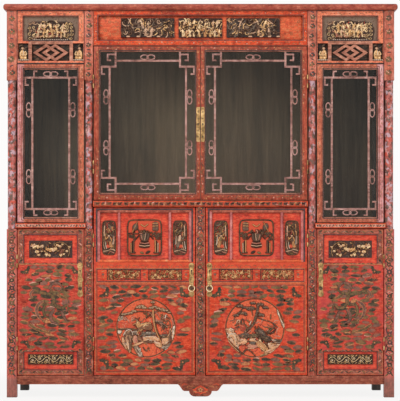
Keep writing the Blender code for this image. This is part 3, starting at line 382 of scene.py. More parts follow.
def easedCopy(node, ease, finish, edge=None, zones=(), cuts=()):
    source = nodes[node]
    obj = bpy.data.objects.new(node + "_eased", source.data.copy())
    bpy.context.scene.collection.objects.link(obj)
    finishes = [finish, edge or finish] + [zone[1] for zone in zones]
    obj.data.materials.clear()
    for each in finishes:
        obj.data.materials.append(each)
    obj.data.polygons.foreach_set("material_index", [0] * len(obj.data.polygons))
    pick(obj)
    bpy.ops.object.mode_set(mode="EDIT")
    bpy.ops.mesh.select_all(action="SELECT")
    bpy.ops.mesh.remove_doubles(threshold=0.00002)
    bpy.ops.mesh.dissolve_limited(angle_limit=math.radians(1.0))
    bpy.ops.object.mode_set(mode="OBJECT")
    if ease:
        bevel = obj.modifiers.new("ease", "BEVEL")
        bevel.width = ease
        bevel.segments = 2
        bevel.limit_method = "ANGLE"
        bevel.angle_limit = foldAngle
        bevel.use_clamp_overlap = True
        bevel.material = 1 if edge else -1
        bpy.ops.object.modifier_apply(modifier="ease")
    bpy.ops.object.shade_smooth_by_angle(angle=foldAngle)
    # faces in a zone get that zone's finish
    bpy.ops.object.mode_set(mode="EDIT")
    for spot, facing in cuts:
        bpy.ops.mesh.select_all(action="SELECT")
        bpy.ops.mesh.bisect(plane_co=spot, plane_no=facing)
    bpy.ops.object.mode_set(mode="OBJECT")
    looks = [face.material_index for face in obj.data.polygons]
    for face in obj.data.polygons:
        for place, (inside, _) in enumerate(zones):
            if inside(face.center, face.normal):
                looks[face.index] = place + 2
    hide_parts(node)
    settle(obj, bodyOf[node], slotOf[node], *finishes)
    obj.data.polygons.foreach_set("material_index", looks)


def facesFront(spot, normal):
    return normal.y < -0.9


def sunkFloor(spot, normal):
    return abs(spot.y - sunkFront) < 0.0008 and facesFront(spot, normal)


def glassLip(spot, normal):
    return -0.2345 < spot.y < -0.2242 or (abs(spot.y + 0.234) < 0.0006 and facesFront(spot, normal))


def latticeBars(spot, normal):
    return latticeAcross[0] < abs(spot.x) < latticeAcross[1] and latticeUp[0] < spot.z < latticeUp[1]


def latticeCuts(side):
    upright = [((side * x, 0, 0), (1, 0, 0)) for x in latticeAcross]
    return upright + [((0, 0, z), (0, 0, 1)) for z in latticeUp]


def outerStile(spot, normal):
    return abs(spot.x) > stileEdge and facesFront(spot, normal)


easing = dict(post=0.0022, board=0.0014, door=0.0016, fret=0.0016, brass=0.0005)

easedCopy("cornice_board", 0.0, reds["cornice"])
easedCopy("frieze_frame", easing["board"], reds["frame"], reds["edge"])
easedCopy("base_rail", easing["board"], reds["base"], reds["edge"])
easedCopy("mullion", easing["board"], reds["mullion"], reds["edge"])
easedCopy("frieze_carving", easing["board"], reds["ground"])
easedCopy("display_floor_centre", 0.0, reds["frame"])
easedCopy("back_panel", easing["board"], woods["case"], zones=[(facesFront, woods["back"])])
easedCopy("bottom_board", easing["board"], woods["inside"])
for word, side in sides.items():
    for place in ("outer", "inner"):
        easedCopy(f"post_{place}_{word}", easing["post"], reds[place], reds["edge"])
    easedCopy(f"post_rear_{word}", easing["post"], woods["case"])
    easedCopy(f"side_panel_{word}", easing["board"], woods["case"])
    easedCopy(f"partition_{word}", easing["board"], woods["inside"])
    easedCopy(f"display_floor_{word}", 0.0, reds["frame"])
    zones = [(latticeBars, reds["mauve"])]
    easedCopy(f"transom_frame_{word}", easing["board"], reds["transom"], reds["edge"], zones,
              latticeCuts(side))
    easedCopy(f"transom_carving_{word}", easing["board"], reds["dark"])
    for bay, stile, field in (("centre", "upright", "field"), ("side", "warm", "sideField")):
        door = f"glazed_door_{bay}_{word}"
        zones = [(outerStile, reds["pale"]), (glassLip, reds["mauve"])]
        cuts = [((side * stileEdge, 0, 0), (1, 0, 0))]
        easedCopy(f"{door}_frame", easing["door"], reds[stile], reds["edge"], zones, cuts)
        easedCopy(f"{door}_fret", easing["fret"], reds["fret"])
        zones = [(sunkFloor, reds["panel"])]
        easedCopy(f"cupboard_door_{bay}_{word}", easing["door"], reds[field], reds["edge"], zones)
        easedCopy(f"lock_plate_{bay}_{word}", easing["brass"], brass)
        pane = nodes[f"{door}_pane"]
        pane.data.materials.clear()
        pane.data.materials.append(glass)
        # daylight reaches the display floor straight through the clear pane
        pane.visible_shadow = False
        pane.visible_diffuse = False
    easedCopy(f"lock_strip_{word}", easing["brass"], brass)
    easedCopy(f"ring_pull_{word}", 0.0, rubbedLitRingBrass)
for node in nodes:
    if "_hinge_" in node:
        easedCopy(node, easing["brass"], brass)
print("boards, doors and brass eased")


# Thin paint and mouldings: a shape is cut out once, and copies of it are gathered into one piece

def lift(obj):
    # takes a finished shape's corners and faces, and puts the shape away
    corners = np.array([tuple(vertex.co) for vertex in obj.data.vertices])
    faces = [tuple(face.vertices) for face in obj.data.polygons]
    bpy.data.objects.remove(obj)
    return corners, faces


def thicken(obj):
    bpy.ops.object.mode_set(mode="EDIT")
    bpy.ops.mesh.select_all(action="SELECT")
    bpy.ops.mesh.extrude_region_move(TRANSFORM_OT_translate={"value": (0.0, -1.0, 0.0)})
    bpy.ops.mesh.select_all(action="SELECT")
    bpy.ops.mesh.normals_make_consistent(inside=False)
    bpy.ops.object.mode_set(mode="OBJECT")
    return lift(obj)


def cutOut(points):
    letGo()
    bpy.ops.mesh.primitive_circle_add(vertices=len(points), radius=1.0, fill_type="NGON")
    obj = bpy.context.object
    for vertex, (u, v) in zip(obj.data.vertices, points):
        vertex.co = (u, 0.0, v)
    return thicken(obj)


def cutRibbon(points, widths):
    # a band along a line, as wide as the list says
    points = np.array(points)
    along = np.gradient(points, axis=0)
    along /= np.linalg.norm(along, axis=1, keepdims=True)
    aside = np.stack([-along[:, 1], along[:, 0]], axis=1) * np.array(widths)[:, None] / 2
    letGo()
    bpy.ops.mesh.primitive_grid_add(x_subdivisions=len(points) - 1, y_subdivisions=1, size=2.0)
    obj = bpy.context.object
    rows = np.concatenate([points - aside, points + aside])
    for vertex, (u, v) in zip(obj.data.vertices, rows):
        vertex.co = (u, 0.0, v)
    return thicken(obj)


def smoothLine(knots, steps=8):
    # a curve through all the knots
    knots = np.array(knots, float)
    padded = np.concatenate([[2 * knots[0] - knots[1]], knots, [2 * knots[-1] - knots[-2]]])
    line = []
    for a, b, c, d in zip(padded, padded[1:], padded[2:], padded[3:]):
        for t in np.linspace(0, 1, steps, endpoint=False):
            square = (2 * a - 5 * b + 4 * c - d) * t * t
            cube = (3 * b - a - 3 * c + d) * t ** 3
            line.append(0.5 * (2 * b + (c - a) * t + square + cube))
    line.append(knots[-1])
    return np.array(line)


def spiralLine(middle, outer, inner, start, turns, steps=26):
    t = np.linspace(0, 1, steps)
    angle = start + turns * 2 * math.pi * t
    radius = outer + (inner - outer) * t
    return np.stack([middle[0] + radius * np.cos(angle), middle[1] + radius * np.sin(angle)], axis=1)


def tapered(count, start, middle, end):
    return np.interp(np.linspace(0, 1, count), [0, 0.4, 1], [start, middle, end])


# Paint starts this deep in the wood, so that no gap shows
paintSink = 0.0004


class Print:
    # flat paint or mouldings on a face of the case or a door, in paints that are called by name
    def __init__(self, face, finishes=None):
        self.face = face
        self.finishes = finishes or paints
        self.order = list(self.finishes)
        self.corners = []
        self.faces = []
        self.looks = []
        self.count = 0

    def keep(self, corners, faces, paint, flip):
        self.corners.append(corners)
        self.faces += [tuple(self.count + i for i in (reversed(face) if flip else face)) for face in faces]
        self.looks += [self.order.index(paint)] * len(faces)
        self.count += len(corners)

    def put(self, shape, spot, size=1.0, turn=0.0, flip=False, paint="dark", proud=0.0004):
        corners, faces = shapes[shape] if isinstance(shape, str) else shape
        across, up = size if isinstance(size, tuple) else (size, size)
        u = corners[:, 0] * across * (-1 if flip else 1)
        v = corners[:, 2] * up
        cos, sin = math.cos(turn), math.sin(turn)
        x = spot[0] + u * cos - v * sin
        z = spot[1] + u * sin + v * cos
        y = self.face + paintSink + corners[:, 1] * (paintSink + proud)
        self.keep(np.stack([x, y, z], axis=1), faces, paint, flip)

    def bar(self, profile, start, end, width, proud, paint, mitre=(0, 0)):
        # a moulding from start to end: the profile runs -1 to 1 across and 0 to 1 out
        corners, faces = profile
        start, end = np.array(start), np.array(end)
        length = np.linalg.norm(end - start)
        along = (end - start) / length
        aside = np.array([-along[1], along[0]])
        across = corners[:, 0] * width / 2
        share = -corners[:, 1]
        run = share * length + across * np.where(share > 0.5, mitre[1], mitre[0])
        spot = start + run[:, None] * along + across[:, None] * aside
        y = self.face + paintSink - corners[:, 2] * (proud + paintSink)
        self.keep(np.stack([spot[:, 0], y, spot[:, 1]], axis=1), faces, paint, False)

    def ring(self, profile, low, high, width, proud, paint, sidesOn):
        # mouldings round a rectangle, mitred at the corners that meet
        runs = {
            "b": (low, (high[0], low[1])),
            "r": ((high[0], low[1]), high),
            "t": (high, (low[0], high[1])),
            "l": ((low[0], high[1]), low),
        }
        order = "brtl"
        for place, key in enumerate(order):
            if key in sidesOn:
                first = 1 if order[place - 1] in sidesOn else 0
                last = -1 if order[(place + 1) % 4] in sidesOn else 0
                self.bar(profile, *runs[key], width, proud, paint, (first, last))

    def piece(self, name, body, slot, smooth=None):
        mesh = bpy.data.meshes.new(name)
        mesh.from_pydata(np.concatenate(self.corners).tolist(), [], self.faces)
        obj = bpy.data.objects.new(name, mesh)
        bpy.context.scene.collection.objects.link(obj)
        pick(obj)
        bpy.ops.object.mode_set(mode="EDIT")
        bpy.ops.mesh.select_all(action="SELECT")
        bpy.ops.mesh.normals_make_consistent(inside=False)
        bpy.ops.object.mode_set(mode="OBJECT")
        if smooth:
            bpy.ops.object.shade_smooth_by_angle(angle=math.radians(smooth))
        settle(obj, body, slot, *self.finishes.values())
        obj.data.polygons.foreach_set("material_index", self.looks)


def petalShape(count, dip, steps=40):
    points = []
    for angle in np.linspace(0, 2 * math.pi, steps, endpoint=False):
        reach = 1 - dip + dip * math.cos(count * angle)
        points.append((reach * math.cos(angle), reach * math.sin(angle)))
    return cutOut(points)


def lensShape(up, down, lobes=0.0, steps=14):
    shares = np.linspace(0, 1, steps)[1:-1]
    bulges = [math.sin(math.pi * share) ** 0.6 for share in shares]
    waves = [1 + lobes * math.sin(5 * math.pi * share) for share in shares]
    top = [(-1 + 2 * share, up * bulge * wave) for share, bulge, wave in zip(shares, bulges, waves)]
    low = [(-1 + 2 * share, -down * bulge) for share, bulge in zip(shares, bulges)]
    return cutOut([(-1, 0), *low, (1, 0), *reversed(top)])


def batShape():
    half = [(0.0, 0.34), (0.09, 0.46), (0.15, 0.31), (0.36, 0.42), (0.72, 0.66), (1.0, 0.5), (0.86, 0.28),
            (0.8, 0.0)]
    half += [(0.6, 0.06), (0.48, -0.24), (0.3, -0.12), (0.14, -0.5), (0.0, -0.34)]
    return cutOut([(-u, v) for u, v in half[1:-1]] + [half[-1]] + list(reversed(half[1:-1])) + [half[0]])


# Sections of mouldings: across and out, with the length along the cut

archAngles = np.linspace(0.35, math.pi - 0.35, 9)
halfRound = cutOut([(-1, 0), (1, 0)] + [(math.cos(angle), math.sin(angle)) for angle in archAngles])
flatBand = cutOut([(-1, 0), (1, 0), (1, 0.7), (0.9, 1), (-0.9, 1), (-1, 0.7)])


# Shapes of the painted ornament, about one unit in half width

shapes = dict(
    cloud=lensShape(0.4, 0.2, 0.2),
    wisp=lensShape(0.26, 0.22),
    leaf=lensShape(0.3, 0.12),
    flower=petalShape(5, 0.2),
    bloom=petalShape(8, 0.12),
    dot=petalShape(3, 0.05, 12),
    bat=batShape(),
    curl=cutRibbon(spiralLine((0, 0), 1.0, 0.25, 0.0, 1.35), tapered(26, 0.08, 0.3, 0.16)),
    hook=cutRibbon(smoothLine([(-1, -0.1), (-0.3, 0.22), (0.5, 0.2), (0.9, -0.15), (0.55, -0.35)], 6),
                   tapered(25, 0.05, 0.26, 0.12)),
    square=cutOut([(-1, -1), (1, -1), (1, 1), (-1, 1)]),
)
print("shapes cut out")


def wornPaint(name, pale, dark, under, cover=0.5):
    # thin paint that has rubbed through to the lacquer in places
    paint = Paint(name, {"Specular IOR Level": 0.3})
    cloudy = paint.noise(48.0, 4.0, 0.6)
    fine = paint.noise(260.0, 3.0, 0.6)
    colour = paint.mix(paint.step(cloudy, 0.38, 0.62), dark, pale)
    rubbed = paint.step(cloudy * 0.35 + fine * 0.65, cover, cover + 0.1)
    colour = paint.mix(rubbed * 0.8, colour, under)
    rough = 0.5 + 0.2 * fine
    return paint.feed(Base_Color=colour, Roughness=rough,
                      Normal=paint.bump(cloudy * 0.5 + fine * 0.5, 0.3, 0.0004))


redUnder = tone(180, 66, 46)
paints = dict(
    dark=wornPaint("darkGreenPaint", tone(84, 72, 48), tone(52, 44, 32), redUnder, 0.56),
    olive=wornPaint("olivePaint", tone(132, 104, 66), tone(100, 80, 50), redUnder, 0.55),
    mauve=wornPaint("greyMauvePaint", tone(142, 98, 80), tone(112, 78, 64), redUnder, 0.55),
    ochre=wornPaint("ochrePaint", tone(210, 142, 94), tone(180, 108, 68), redUnder, 0.56),
    pink=wornPaint("palePinkPaint", tone(222, 164, 142), tone(198, 128, 108), redUnder, 0.57),
    orange=wornPaint("orangePaint", tone(222, 86, 50), tone(204, 68, 42), tone(176, 60, 42), 0.6),
    slate=wornPaint("slatePaint", tone(88, 66, 66), tone(56, 44, 44), tone(136, 66, 54), 0.58),
    border=reds["border"],
    brown=wornPaint("brownPaint", tone(158, 82, 60), tone(126, 62, 46), tone(182, 82, 60), 0.55),
)
print("paints mixed")


# Posts: a chain of flowers and leaves

postSet = dict(step=0.041, bloom=0.0142, leaf=0.0125, upperStep=0.05, upperBloom=0.0172, half=0.0245)


def chainOn(sheet, x, low, high, half, seed, upper=False):
    # round blooms with leaves and paler flecks between
    rng = np.random.RandomState(seed)
    step = postSet["upperStep" if upper else "step"] * (1.4 if upper and half > 0.025 else 1)
    bloom = postSet["upperBloom" if upper else "bloom"] * half / postSet["half"]
    count = int((high - low) / step)
    step = (high - low) / count

    def leafOn(aside, z, size, turn, name, proud):
        room = half - 0.002 - size
        spot = (x + max(-room, min(room, aside)), z)
        sheet.put("leaf", spot, (size, size * 1.4), turn, rng.rand() < 0.5, name, proud)

    for i in range(count):
        z = low + (i + 0.5) * step + rng.uniform(-0.003, 0.003)
        drift = rng.uniform(-0.004, 0.004)
        size = bloom * rng.uniform(0.85, 1.08)
        main = rng.choice(["dark", "slate", "olive", "olive" if upper else "dark"])
        sheet.put("bloom", (x + drift, z), (size, size * rng.uniform(0.75, 1.0)), rng.uniform(-0.5, 0.5),
                  paint=main)
        sheet.put("flower", (x + drift, z), size * (0.3 if upper else 0.5), rng.uniform(0, 1),
                  paint=rng.choice(["mauve", "brown", "olive"]), proud=0.0006)
        sheet.put("dot", (x + drift, z), size * 0.2, paint="pink" if rng.rand() < 0.5 else "orange",
                  proud=0.0008)
        if upper:
            for k in range(5):
                turn = 1.26 * k + rng.uniform(-0.3, 0.3)
                spot = (x + drift + 0.62 * bloom * math.cos(turn), z + 0.62 * bloom * math.sin(turn))
                name = ("dark", "slate", "pink", "olive", "mauve")[k]
                sheet.put("leaf", spot, (0.0072, 0.0105), turn, paint=name, proud=0.0007)
        for hand in () if upper else (-1, 1):
            for lift in (-0.3, 0.3):
                size = postSet["leaf"] * rng.uniform(0.7, 1.0) * half / postSet["half"]
                name = rng.choice(["dark", "slate", "mauve", "brown", "olive"])
                leafOn(hand * half * 0.6, z + lift * step + rng.uniform(-0.003, 0.003), size,
                       hand * lift * 3 + rng.uniform(-0.4, 0.4), name, 0.0005)
            name = rng.choice(["pink", "ochre", "orange", "mauve"])
            leafOn(hand * half * rng.uniform(0.1, 0.5), z + step * rng.uniform(0.42, 0.58), 0.0085,
                   rng.uniform(-0.9, 0.9), name, 0.0007)
        leafOn(0.0, z + 0.5 * step, 0.011, rng.uniform(-0.5, 0.5), rng.choice(["dark", "slate", "mauve"]),
               0.0004)


# Middle, half width and lower end of the painted strip on each right-hand post
postSpots = dict(outer=(1.0075, 0.0265, 0.112), inner=(0.59625, 0.02275, 0.128))


def paintPosts():
    for word, side in sides.items():
        for place, (x, half, foot) in postSpots.items():
            sheet = Print(postFront)
            seed = int(x * 100) + side
            chainOn(sheet, side * x, foot, 0.893, half, seed)
            chainOn(sheet, side * x, 1.7, 2.06, half, seed + 7, True)
            sheet.piece(f"post_{place}_{word}_flowers", "case", "red_lacquer")
    sheet = Print(doorFront)
    chainOn(sheet, 0.0, 0.126, 1.01, 0.024, 5)
    sheet.piece("mullion_flowers", "case", "red_lacquer")


paintPosts()
print("posts painted")


# Cupboard doors: mouldings, painted clouds, bats and scrolls

cloudSet = dict(row=0.0225, small=0.017, large=0.03, tall=0.021, gap=0.014)
twinPaints = dict(ochre=0.3, brown=0.25, mauve=0.25, orange=0.1, pink=0.1)


def cloudsOn(sheet, low, high, clear, seed, tones):
    # rows of lens-shaped clouds on a brown wash, most of them with a paler twin behind
    rng = np.random.RandomState(seed)
    rows = int((high[1] - low[1]) / cloudSet["row"])
    names = list(tones)
    odds = np.cumsum(list(tones.values()))
    for row in range(rows):
        z = low[1] + (row + 0.5) * (high[1] - low[1]) / rows
        x = low[0] + rng.uniform(-0.01, 0.02)
        while x < high[0]:
            half = rng.uniform(cloudSet["small"], cloudSet["large"])
            spot = (x + half, z + rng.uniform(-0.004, 0.004))
            name = names[int(np.searchsorted(odds, rng.rand() * odds[-1]))]
            if low[0] < spot[0] - half and spot[0] + half < high[0] and clear(spot[0], spot[1], half):
                tall = cloudSet["tall"] * rng.uniform(0.85, 1.2)
                turn, flip = rng.uniform(-0.26, 0.26), rng.rand() < 0.5
                wash = (spot[0] + rng.uniform(-0.3, 0.3) * half, spot[1] + rng.uniform(-0.003, 0.003))
                sheet.put("wisp", wash, (half * 1.12, tall * 2.2), turn, flip, "brown", 0.0001)
                if rng.rand() < 0.75:
                    aside = rng.uniform(-0.5, 0.5) * half
                    twin = (spot[0] + aside, spot[1] - rng.choice([-1, 1]) * 0.0062)
                    pale = rng.choice(list(twinPaints), p=list(twinPaints.values()))
                    sheet.put("cloud", twin, (half * 0.8, tall * 0.8), turn, not flip, pale, 0.0003)
                sheet.put("cloud" if rng.rand() < 0.35 else "wisp", spot,
                          (half, tall * rng.uniform(1.1, 1.7)), turn, flip, name, 0.0006)
            x += 2 * half + rng.uniform(0.1, 1.0) * cloudSet["gap"]


def batsOn(sheet, spots, middle, size, seed):
    # bats that face away from the middle, each with three hooks on its inner side
    rng = np.random.RandomState(seed)
    for x, z in spots:
        turn = math.atan2(z - middle[1], x - middle[0]) - math.pi / 2
        sheet.put("bat", (x, z), size, turn, paint="dark", proud=0.0009)
        sheet.put("dot", (x, z), size * 0.14, paint="ochre", proud=0.0012)
        for i in range(3):
            away = turn - math.pi / 2 + (i - 1) * 0.6
            place = (x + math.cos(away) * size * 1.15, z + math.sin(away) * size * 1.15)
            sheet.put("hook", place, size * 0.34, away, rng.rand() < 0.5, "ochre", 0.0007)


def lineRing(sheet, low, high, width, name):
    middle = ((low[0] + high[0]) / 2, (low[1] + high[1]) / 2)
    for z in (low[1], high[1]):
        size = ((high[0] - low[0] + width) / 2, width / 2)
        sheet.put("square", (middle[0], z), size, paint=name, proud=0.0005)
    for x in (low[0], high[0]):
        size = (width / 2, (high[1] - low[1]) / 2)
        sheet.put("square", (x, middle[1]), size, paint=name, proud=0.0005)


def block(sheet, low, high, name, proud=0.0003):
    middle = ((low[0] + high[0]) / 2, (low[1] + high[1]) / 2)
    sheet.put("square", middle, ((high[0] - low[0]) / 2, (high[1] - low[1]) / 2), paint=name, proud=proud)


def spread(side, near, far):
    return (near, far) if side > 0 else (-far, -near)


trimFoot = 0.7235
beadRise = 0.0056
pinkBead = lacquer("pinkBead", ((168, 84, 84), (206, 116, 114), (226, 148, 144), (238, 186, 176)),
                   uprightGrain, 0.6, 0.4)
orangeBead = lacquer("orangeBead", ((214, 84, 50), (240, 108, 64), (248, 138, 88), (248, 180, 130)),
                     acrossGrain, 0.6, 0.4)


centreSet = dict(
    span=(0.0365, 0.5615),
    bats=(0.552, 0.188),
    tones=dict(dark=0.44, olive=0.3, mauve=0.16, ochre=0.1),
    # inset, foot, top, width and paint of each line
    lines=[
        (0.004, 0.614, 0.6895, 0.0028, "ochre"),
        (0.009, 0.619, 0.6845, 0.0036, "slate"),
        (0.002, 0.132, 0.606, 0.0026, "ochre"),
        (0.0085, 0.1385, 0.5995, 0.0046, "brown"),
    ],
)


def dressCentreDoor(word, side):
    body = f"cupboard_door_centre_{word}"
    sheet = Print(doorFront)
    low, high = spread(side, *centreSet["span"])
    # orange lock rail and the lines round the band and the field
    block(sheet, (low, 0.689), (high, 0.7255), "orange")
    for inset, foot, top, width, name in centreSet["lines"]:
        lineRing(sheet, (low + inset, foot), (high - inset, top), width, name)
    for i in range(22):
        spot = (low + 0.02 + i * (high - low - 0.04) / 21, 0.7005 + 0.0025 * math.sin(2.7 * i))
        sheet.put("hook", spot, 0.0104, 0.8 * math.sin(1.9 * i), i % 2 > 0, "olive" if i % 3 else "mauve",
                  0.0006)
    middle = (side * discMiddle[0], discMiddle[1])
    corners = [(x, z) for z in centreSet["bats"] for x in (low + 0.058, high - 0.058)]

    def clear(x, z, half):
        away = math.hypot(max(0.0, abs(x - middle[0]) - half * 0.7), z - middle[1])
        bats = min(math.hypot(x - u, z - v) for u, v in corners)
        plate = abs(x - side * plateAt["centre"]) < half + 0.017 and z > 0.53
        return away > 0.168 and bats > 0.036 and not plate

    field = ((low + 0.012, 0.142), (high - 0.012, 0.598))
    cloudsOn(sheet, *field, clear, 11 + side, centreSet["tones"])
    batsOn(sheet, corners, middle, 0.036, 3 + side)
    # sprigs between and beside the band carvings
    for x in (side * 0.2989, side * 0.077, side * 0.521):
        sheet.put("flower", (x, bandHeight), 0.0085, paint="mauve")
        sheet.put("leaf", (x, 0.672), 0.0105, 0.3, paint="ochre")
        sheet.put("leaf", (x, 0.641), 0.0105, -0.3, paint="ochre")
    sheet.piece(f"{body}_painting", body, "painted_door")

    # dark band, pink beads and muntins round the upper panels
    trim = Print(doorFront,
                 dict(slate=paints["slate"], pink=pinkBead, orange=orangeBead, border=reds["border"]))
    near, far = spread(side, 0.0395, 0.5585)
    trim.ring(flatBand, (near + 0.0045, trimFoot), (far - 0.0045, 1.0045), 0.009, 0.0012, "slate", "ltr")
    for paint, sidesOn in (("pink", "lr"), ("border", "t")):
        trim.ring(halfRound, (near + 0.0155, trimFoot), (far - 0.0155, 0.9935), 0.015, beadRise, paint,
                  sidesOn)
    trim.bar(halfRound, (near + 0.010, 0.729), (far - 0.010, 0.729), 0.0145, beadRise, "orange")
    for x in (side * 0.1634, side * 0.4345):
        trim.bar(halfRound, (x, 0.733), (x, 0.988), 0.0142, beadRise, "pink")
    trim.piece(f"{body}_mouldings", body, "painted_door", smooth=40)


sideSet = dict(
    span=(0.6255, 0.9745),
    panel=(0.6555, 0.9445),
    bats=(0.672, 0.292),
    tones=dict(dark=0.46, olive=0.28, mauve=0.2, ochre=0.06),
    # each border's foot and top, its sunk panel's foot and top, and the lift of its lower leaves
    borders=[(0.711, 0.8965, (0.7125, 0.8695), 0.014), (0.1225, 0.2505, (0.148, 0.246), 0.0)],
)


def dressSideDoor(word, side):
    body = f"cupboard_door_side_{word}"
    sheet = Print(doorFront)
    low, high = spread(side, *sideSet["span"])
    inner = spread(side, *sideSet["panel"])
    # painted borders round the sunk panels
    for foot, top, gap, shift in sideSet["borders"]:
        for corner, far in (((low, gap[1]), (high, top)), ((low, foot), (high, gap[0])),
                            ((low, gap[0]), (inner[0], gap[1])), ((inner[1], gap[0]), (high, gap[1]))):
            block(sheet, corner, far, "border")
        lineRing(sheet, (low + 0.003, foot + 0.002), (high - 0.003, top - 0.003), 0.002, "ochre")
        lineRing(sheet, (inner[0] + 0.0005, gap[0] - 0.0005), (inner[1] - 0.0005, gap[1] + 0.0005), 0.0036,
                 "slate")
        for x in (low + 0.0155, high - 0.0155):
            for z in ((gap[1] + top) / 2, (gap[0] + foot) / 2 + shift):
                sheet.put("leaf", (x, z), (0.0145, 0.024), 0.8 if x < side * sideMiddle else -0.8,
                          paint="dark", proud=0.0007)
                sheet.put("leaf", (x, z - 0.008), (0.0115, 0.02), -0.5 if x < side * sideMiddle else 0.5,
                          paint="mauve", proud=0.0008)
            for i, z in enumerate(np.arange(gap[0] + 0.028, gap[1] - 0.016, 0.019)):
                sheet.put("leaf", (x, z), (0.0105, 0.016), 1.2 * side + 0.5 * (-1) ** i,
                          paint=("olive", "pink", "mauve")[i % 3], proud=0.0007)
        for z in ((gap[1] + top) / 2, (gap[0] + foot) / 2):
            for i, x in enumerate(np.arange(inner[0] + 0.012, inner[1] - 0.008, 0.0225)):
                sheet.put("leaf", (x, z), (0.0105, 0.015), 0.5 * (-1) ** i,
                          paint=("olive", "mauve", "dark")[i % 3], proud=0.0007)
                sheet.put("hook", (x + 0.011, z), 0.0075, paint="ochre" if i % 2 else "pink", proud=0.0007)
    block(sheet, (low + 0.002, 0.7092), (high - 0.002, 0.7128), "ochre", 0.0009)
    middle = (side * sideMiddle, 0.482)
    corners = [(x, z) for z in sideSet["bats"] for x in (low + 0.045, high - 0.045)]

    def clear(x, z, half):
        bats = min(math.hypot(x - u, z - v) for u, v in corners)
        plate = abs(x - side * plateAt["side"]) < half + 0.017 and z > 0.53
        return bats > 0.034 and not plate

    field = ((low + 0.004, 0.256), (high - 0.004, 0.708))
    cloudsOn(sheet, *field, clear, 23 + side, sideSet["tones"])
    batsOn(sheet, corners, middle, 0.031, 9 + side)
    scrollOn(sheet, middle, -side)
    sheet.piece(f"{body}_painting", body, "painted_door")


scrollSet = [
    # knots of each ribbon, its width and its paint
    ([(-0.09, 0.093), (-0.054, 0.078), (-0.013, 0.07), (0.038, 0.075), (0.066, 0.091)], 0.0145, "olive"),
    ([(-0.039, 0.032), (-0.065, 0.014), (-0.076, -0.017), (-0.062, -0.055), (-0.036, -0.074)], 0.0155,
     "mauve"),
    ([(0.002, 0.098), (0.007, 0.065), (0.018, 0.034), (0.002, 0.013), (-0.024, 0.018)], 0.0165, "olive"),
    ([(-0.011, 0.096), (0.01, 0.124), (0.043, 0.127), (0.066, 0.098)], 0.012, "mauve"),
    ([(0.038, 0.07), (0.064, 0.052), (0.089, 0.045)], 0.013, "olive"),
    ([(0.017, 0.029), (0.033, 0.001), (0.064, -0.003), (0.087, 0.011), (0.095, -0.017)], 0.013, "olive"),
    ([(0.02, -0.012), (0.0, -0.043), (0.007, -0.073), (0.041, -0.09)], 0.0155, "mauve"),
    ([(-0.113, -0.091), (-0.083, -0.112), (-0.049, -0.126), (-0.011, -0.136)], 0.0135, "olive"),
    ([(0.058, -0.022), (0.073, -0.055), (0.089, -0.081)], 0.012, "mauve"),
    ([(-0.029, 0.014), (-0.039, -0.017), (-0.029, -0.048), (-0.003, -0.058)], 0.0105, "olive"),
    ([(-0.09, 0.093), (-0.108, 0.07), (-0.096, 0.046)], 0.0105, "mauve"),
]


def scrollShapes():
    made = []
    for knots, width, name in scrollSet:
        line = smoothLine(knots, 6)
        share = np.linspace(0, 1, len(line))
        widths = width * np.interp(share, [0, 0.15, 0.6, 1], [0.45, 0.95, 0.9, 0.2])
        body = cutRibbon(line, widths)
        edge = cutRibbon(line, widths + 0.0046)
        made.append((line, width, name, body, edge))
    return made


scrolls = scrollShapes()


def scrollOn(sheet, middle, hand):
    # a leafy scroll: crossing ribbons with dark or ochre edges, ribs and hooked ends
    def at(spot, away=0.0, turn=0.0):
        return (middle[0] + hand * (spot[0] + away * math.cos(turn)),
                middle[1] + spot[1] + away * math.sin(turn))

    flip = hand < 0
    for place, (line, width, name, body, edge) in enumerate(scrolls):
        sheet.put(edge, middle, 1.0, 0.0, flip, "ochre" if place % 3 == 1 else "dark", 0.0009)
        sheet.put(body, middle, 1.0, 0.0, flip, name, 0.0012 + 0.0002 * place)
        slope = np.gradient(line, axis=0)
        for i in range(2, len(line) - 2, 3):
            turn = math.atan2(slope[i][1], slope[i][0]) + 1.1
            sheet.put("leaf", at(line[i]), width * 0.4, hand * turn, flip, "slate" if i % 2 else "brown",
                      0.0036)
        turn = math.atan2(slope[-1][1], slope[-1][0])
        sheet.put("curl", at(line[-1]), width * 0.75, hand * turn, flip, "olive", 0.0014)
        for away in (-0.9, 0.9):
            sheet.put("hook", at(line[-1], 0.012, turn + away), width * 0.7, hand * (turn + away), flip,
                      "dark", 0.0013)


for word, side in sides.items():
    dressCentreDoor(word, side)
    dressSideDoor(word, side)
print("cupboard doors painted")


# Frames: vines of small worn leaves and flowers, and dark lines of painted shade along their seams

def dotsOn(sheet, start, end, step, size, seed):
    # a worn vine: leaves in dull paints and a pale flower now and then
    rng = np.random.RandomState(seed)
    start, end = np.array(start), np.array(end)
    length = np.linalg.norm(end - start)
    lean = math.atan2(end[1] - start[1], end[0] - start[0])
    count = max(2, int(length / (step * 0.34)))
    for i in range(count):
        spot = start + (end - start) * (i + 0.5 + rng.uniform(-0.2, 0.2)) / count
        aside = rng.uniform(-0.006, 0.006)
        spot = (spot[0] - aside * math.sin(lean), spot[1] + aside * math.cos(lean))
        name = rng.choice(["olive", "mauve", "dark", "ochre", "brown"], p=[0.28, 0.22, 0.16, 0.2, 0.14])
        sheet.put("leaf", spot, size * rng.uniform(1.2, 2.0), lean + rng.uniform(-0.8, 0.8),
                  rng.rand() < 0.5, name, 0.0003)
        if i % 3 == 0:
            sheet.put("flower", spot, size * rng.uniform(0.7, 1.0), rng.uniform(0, 1),
                      paint="pink" if rng.rand() < 0.5 else "ochre")


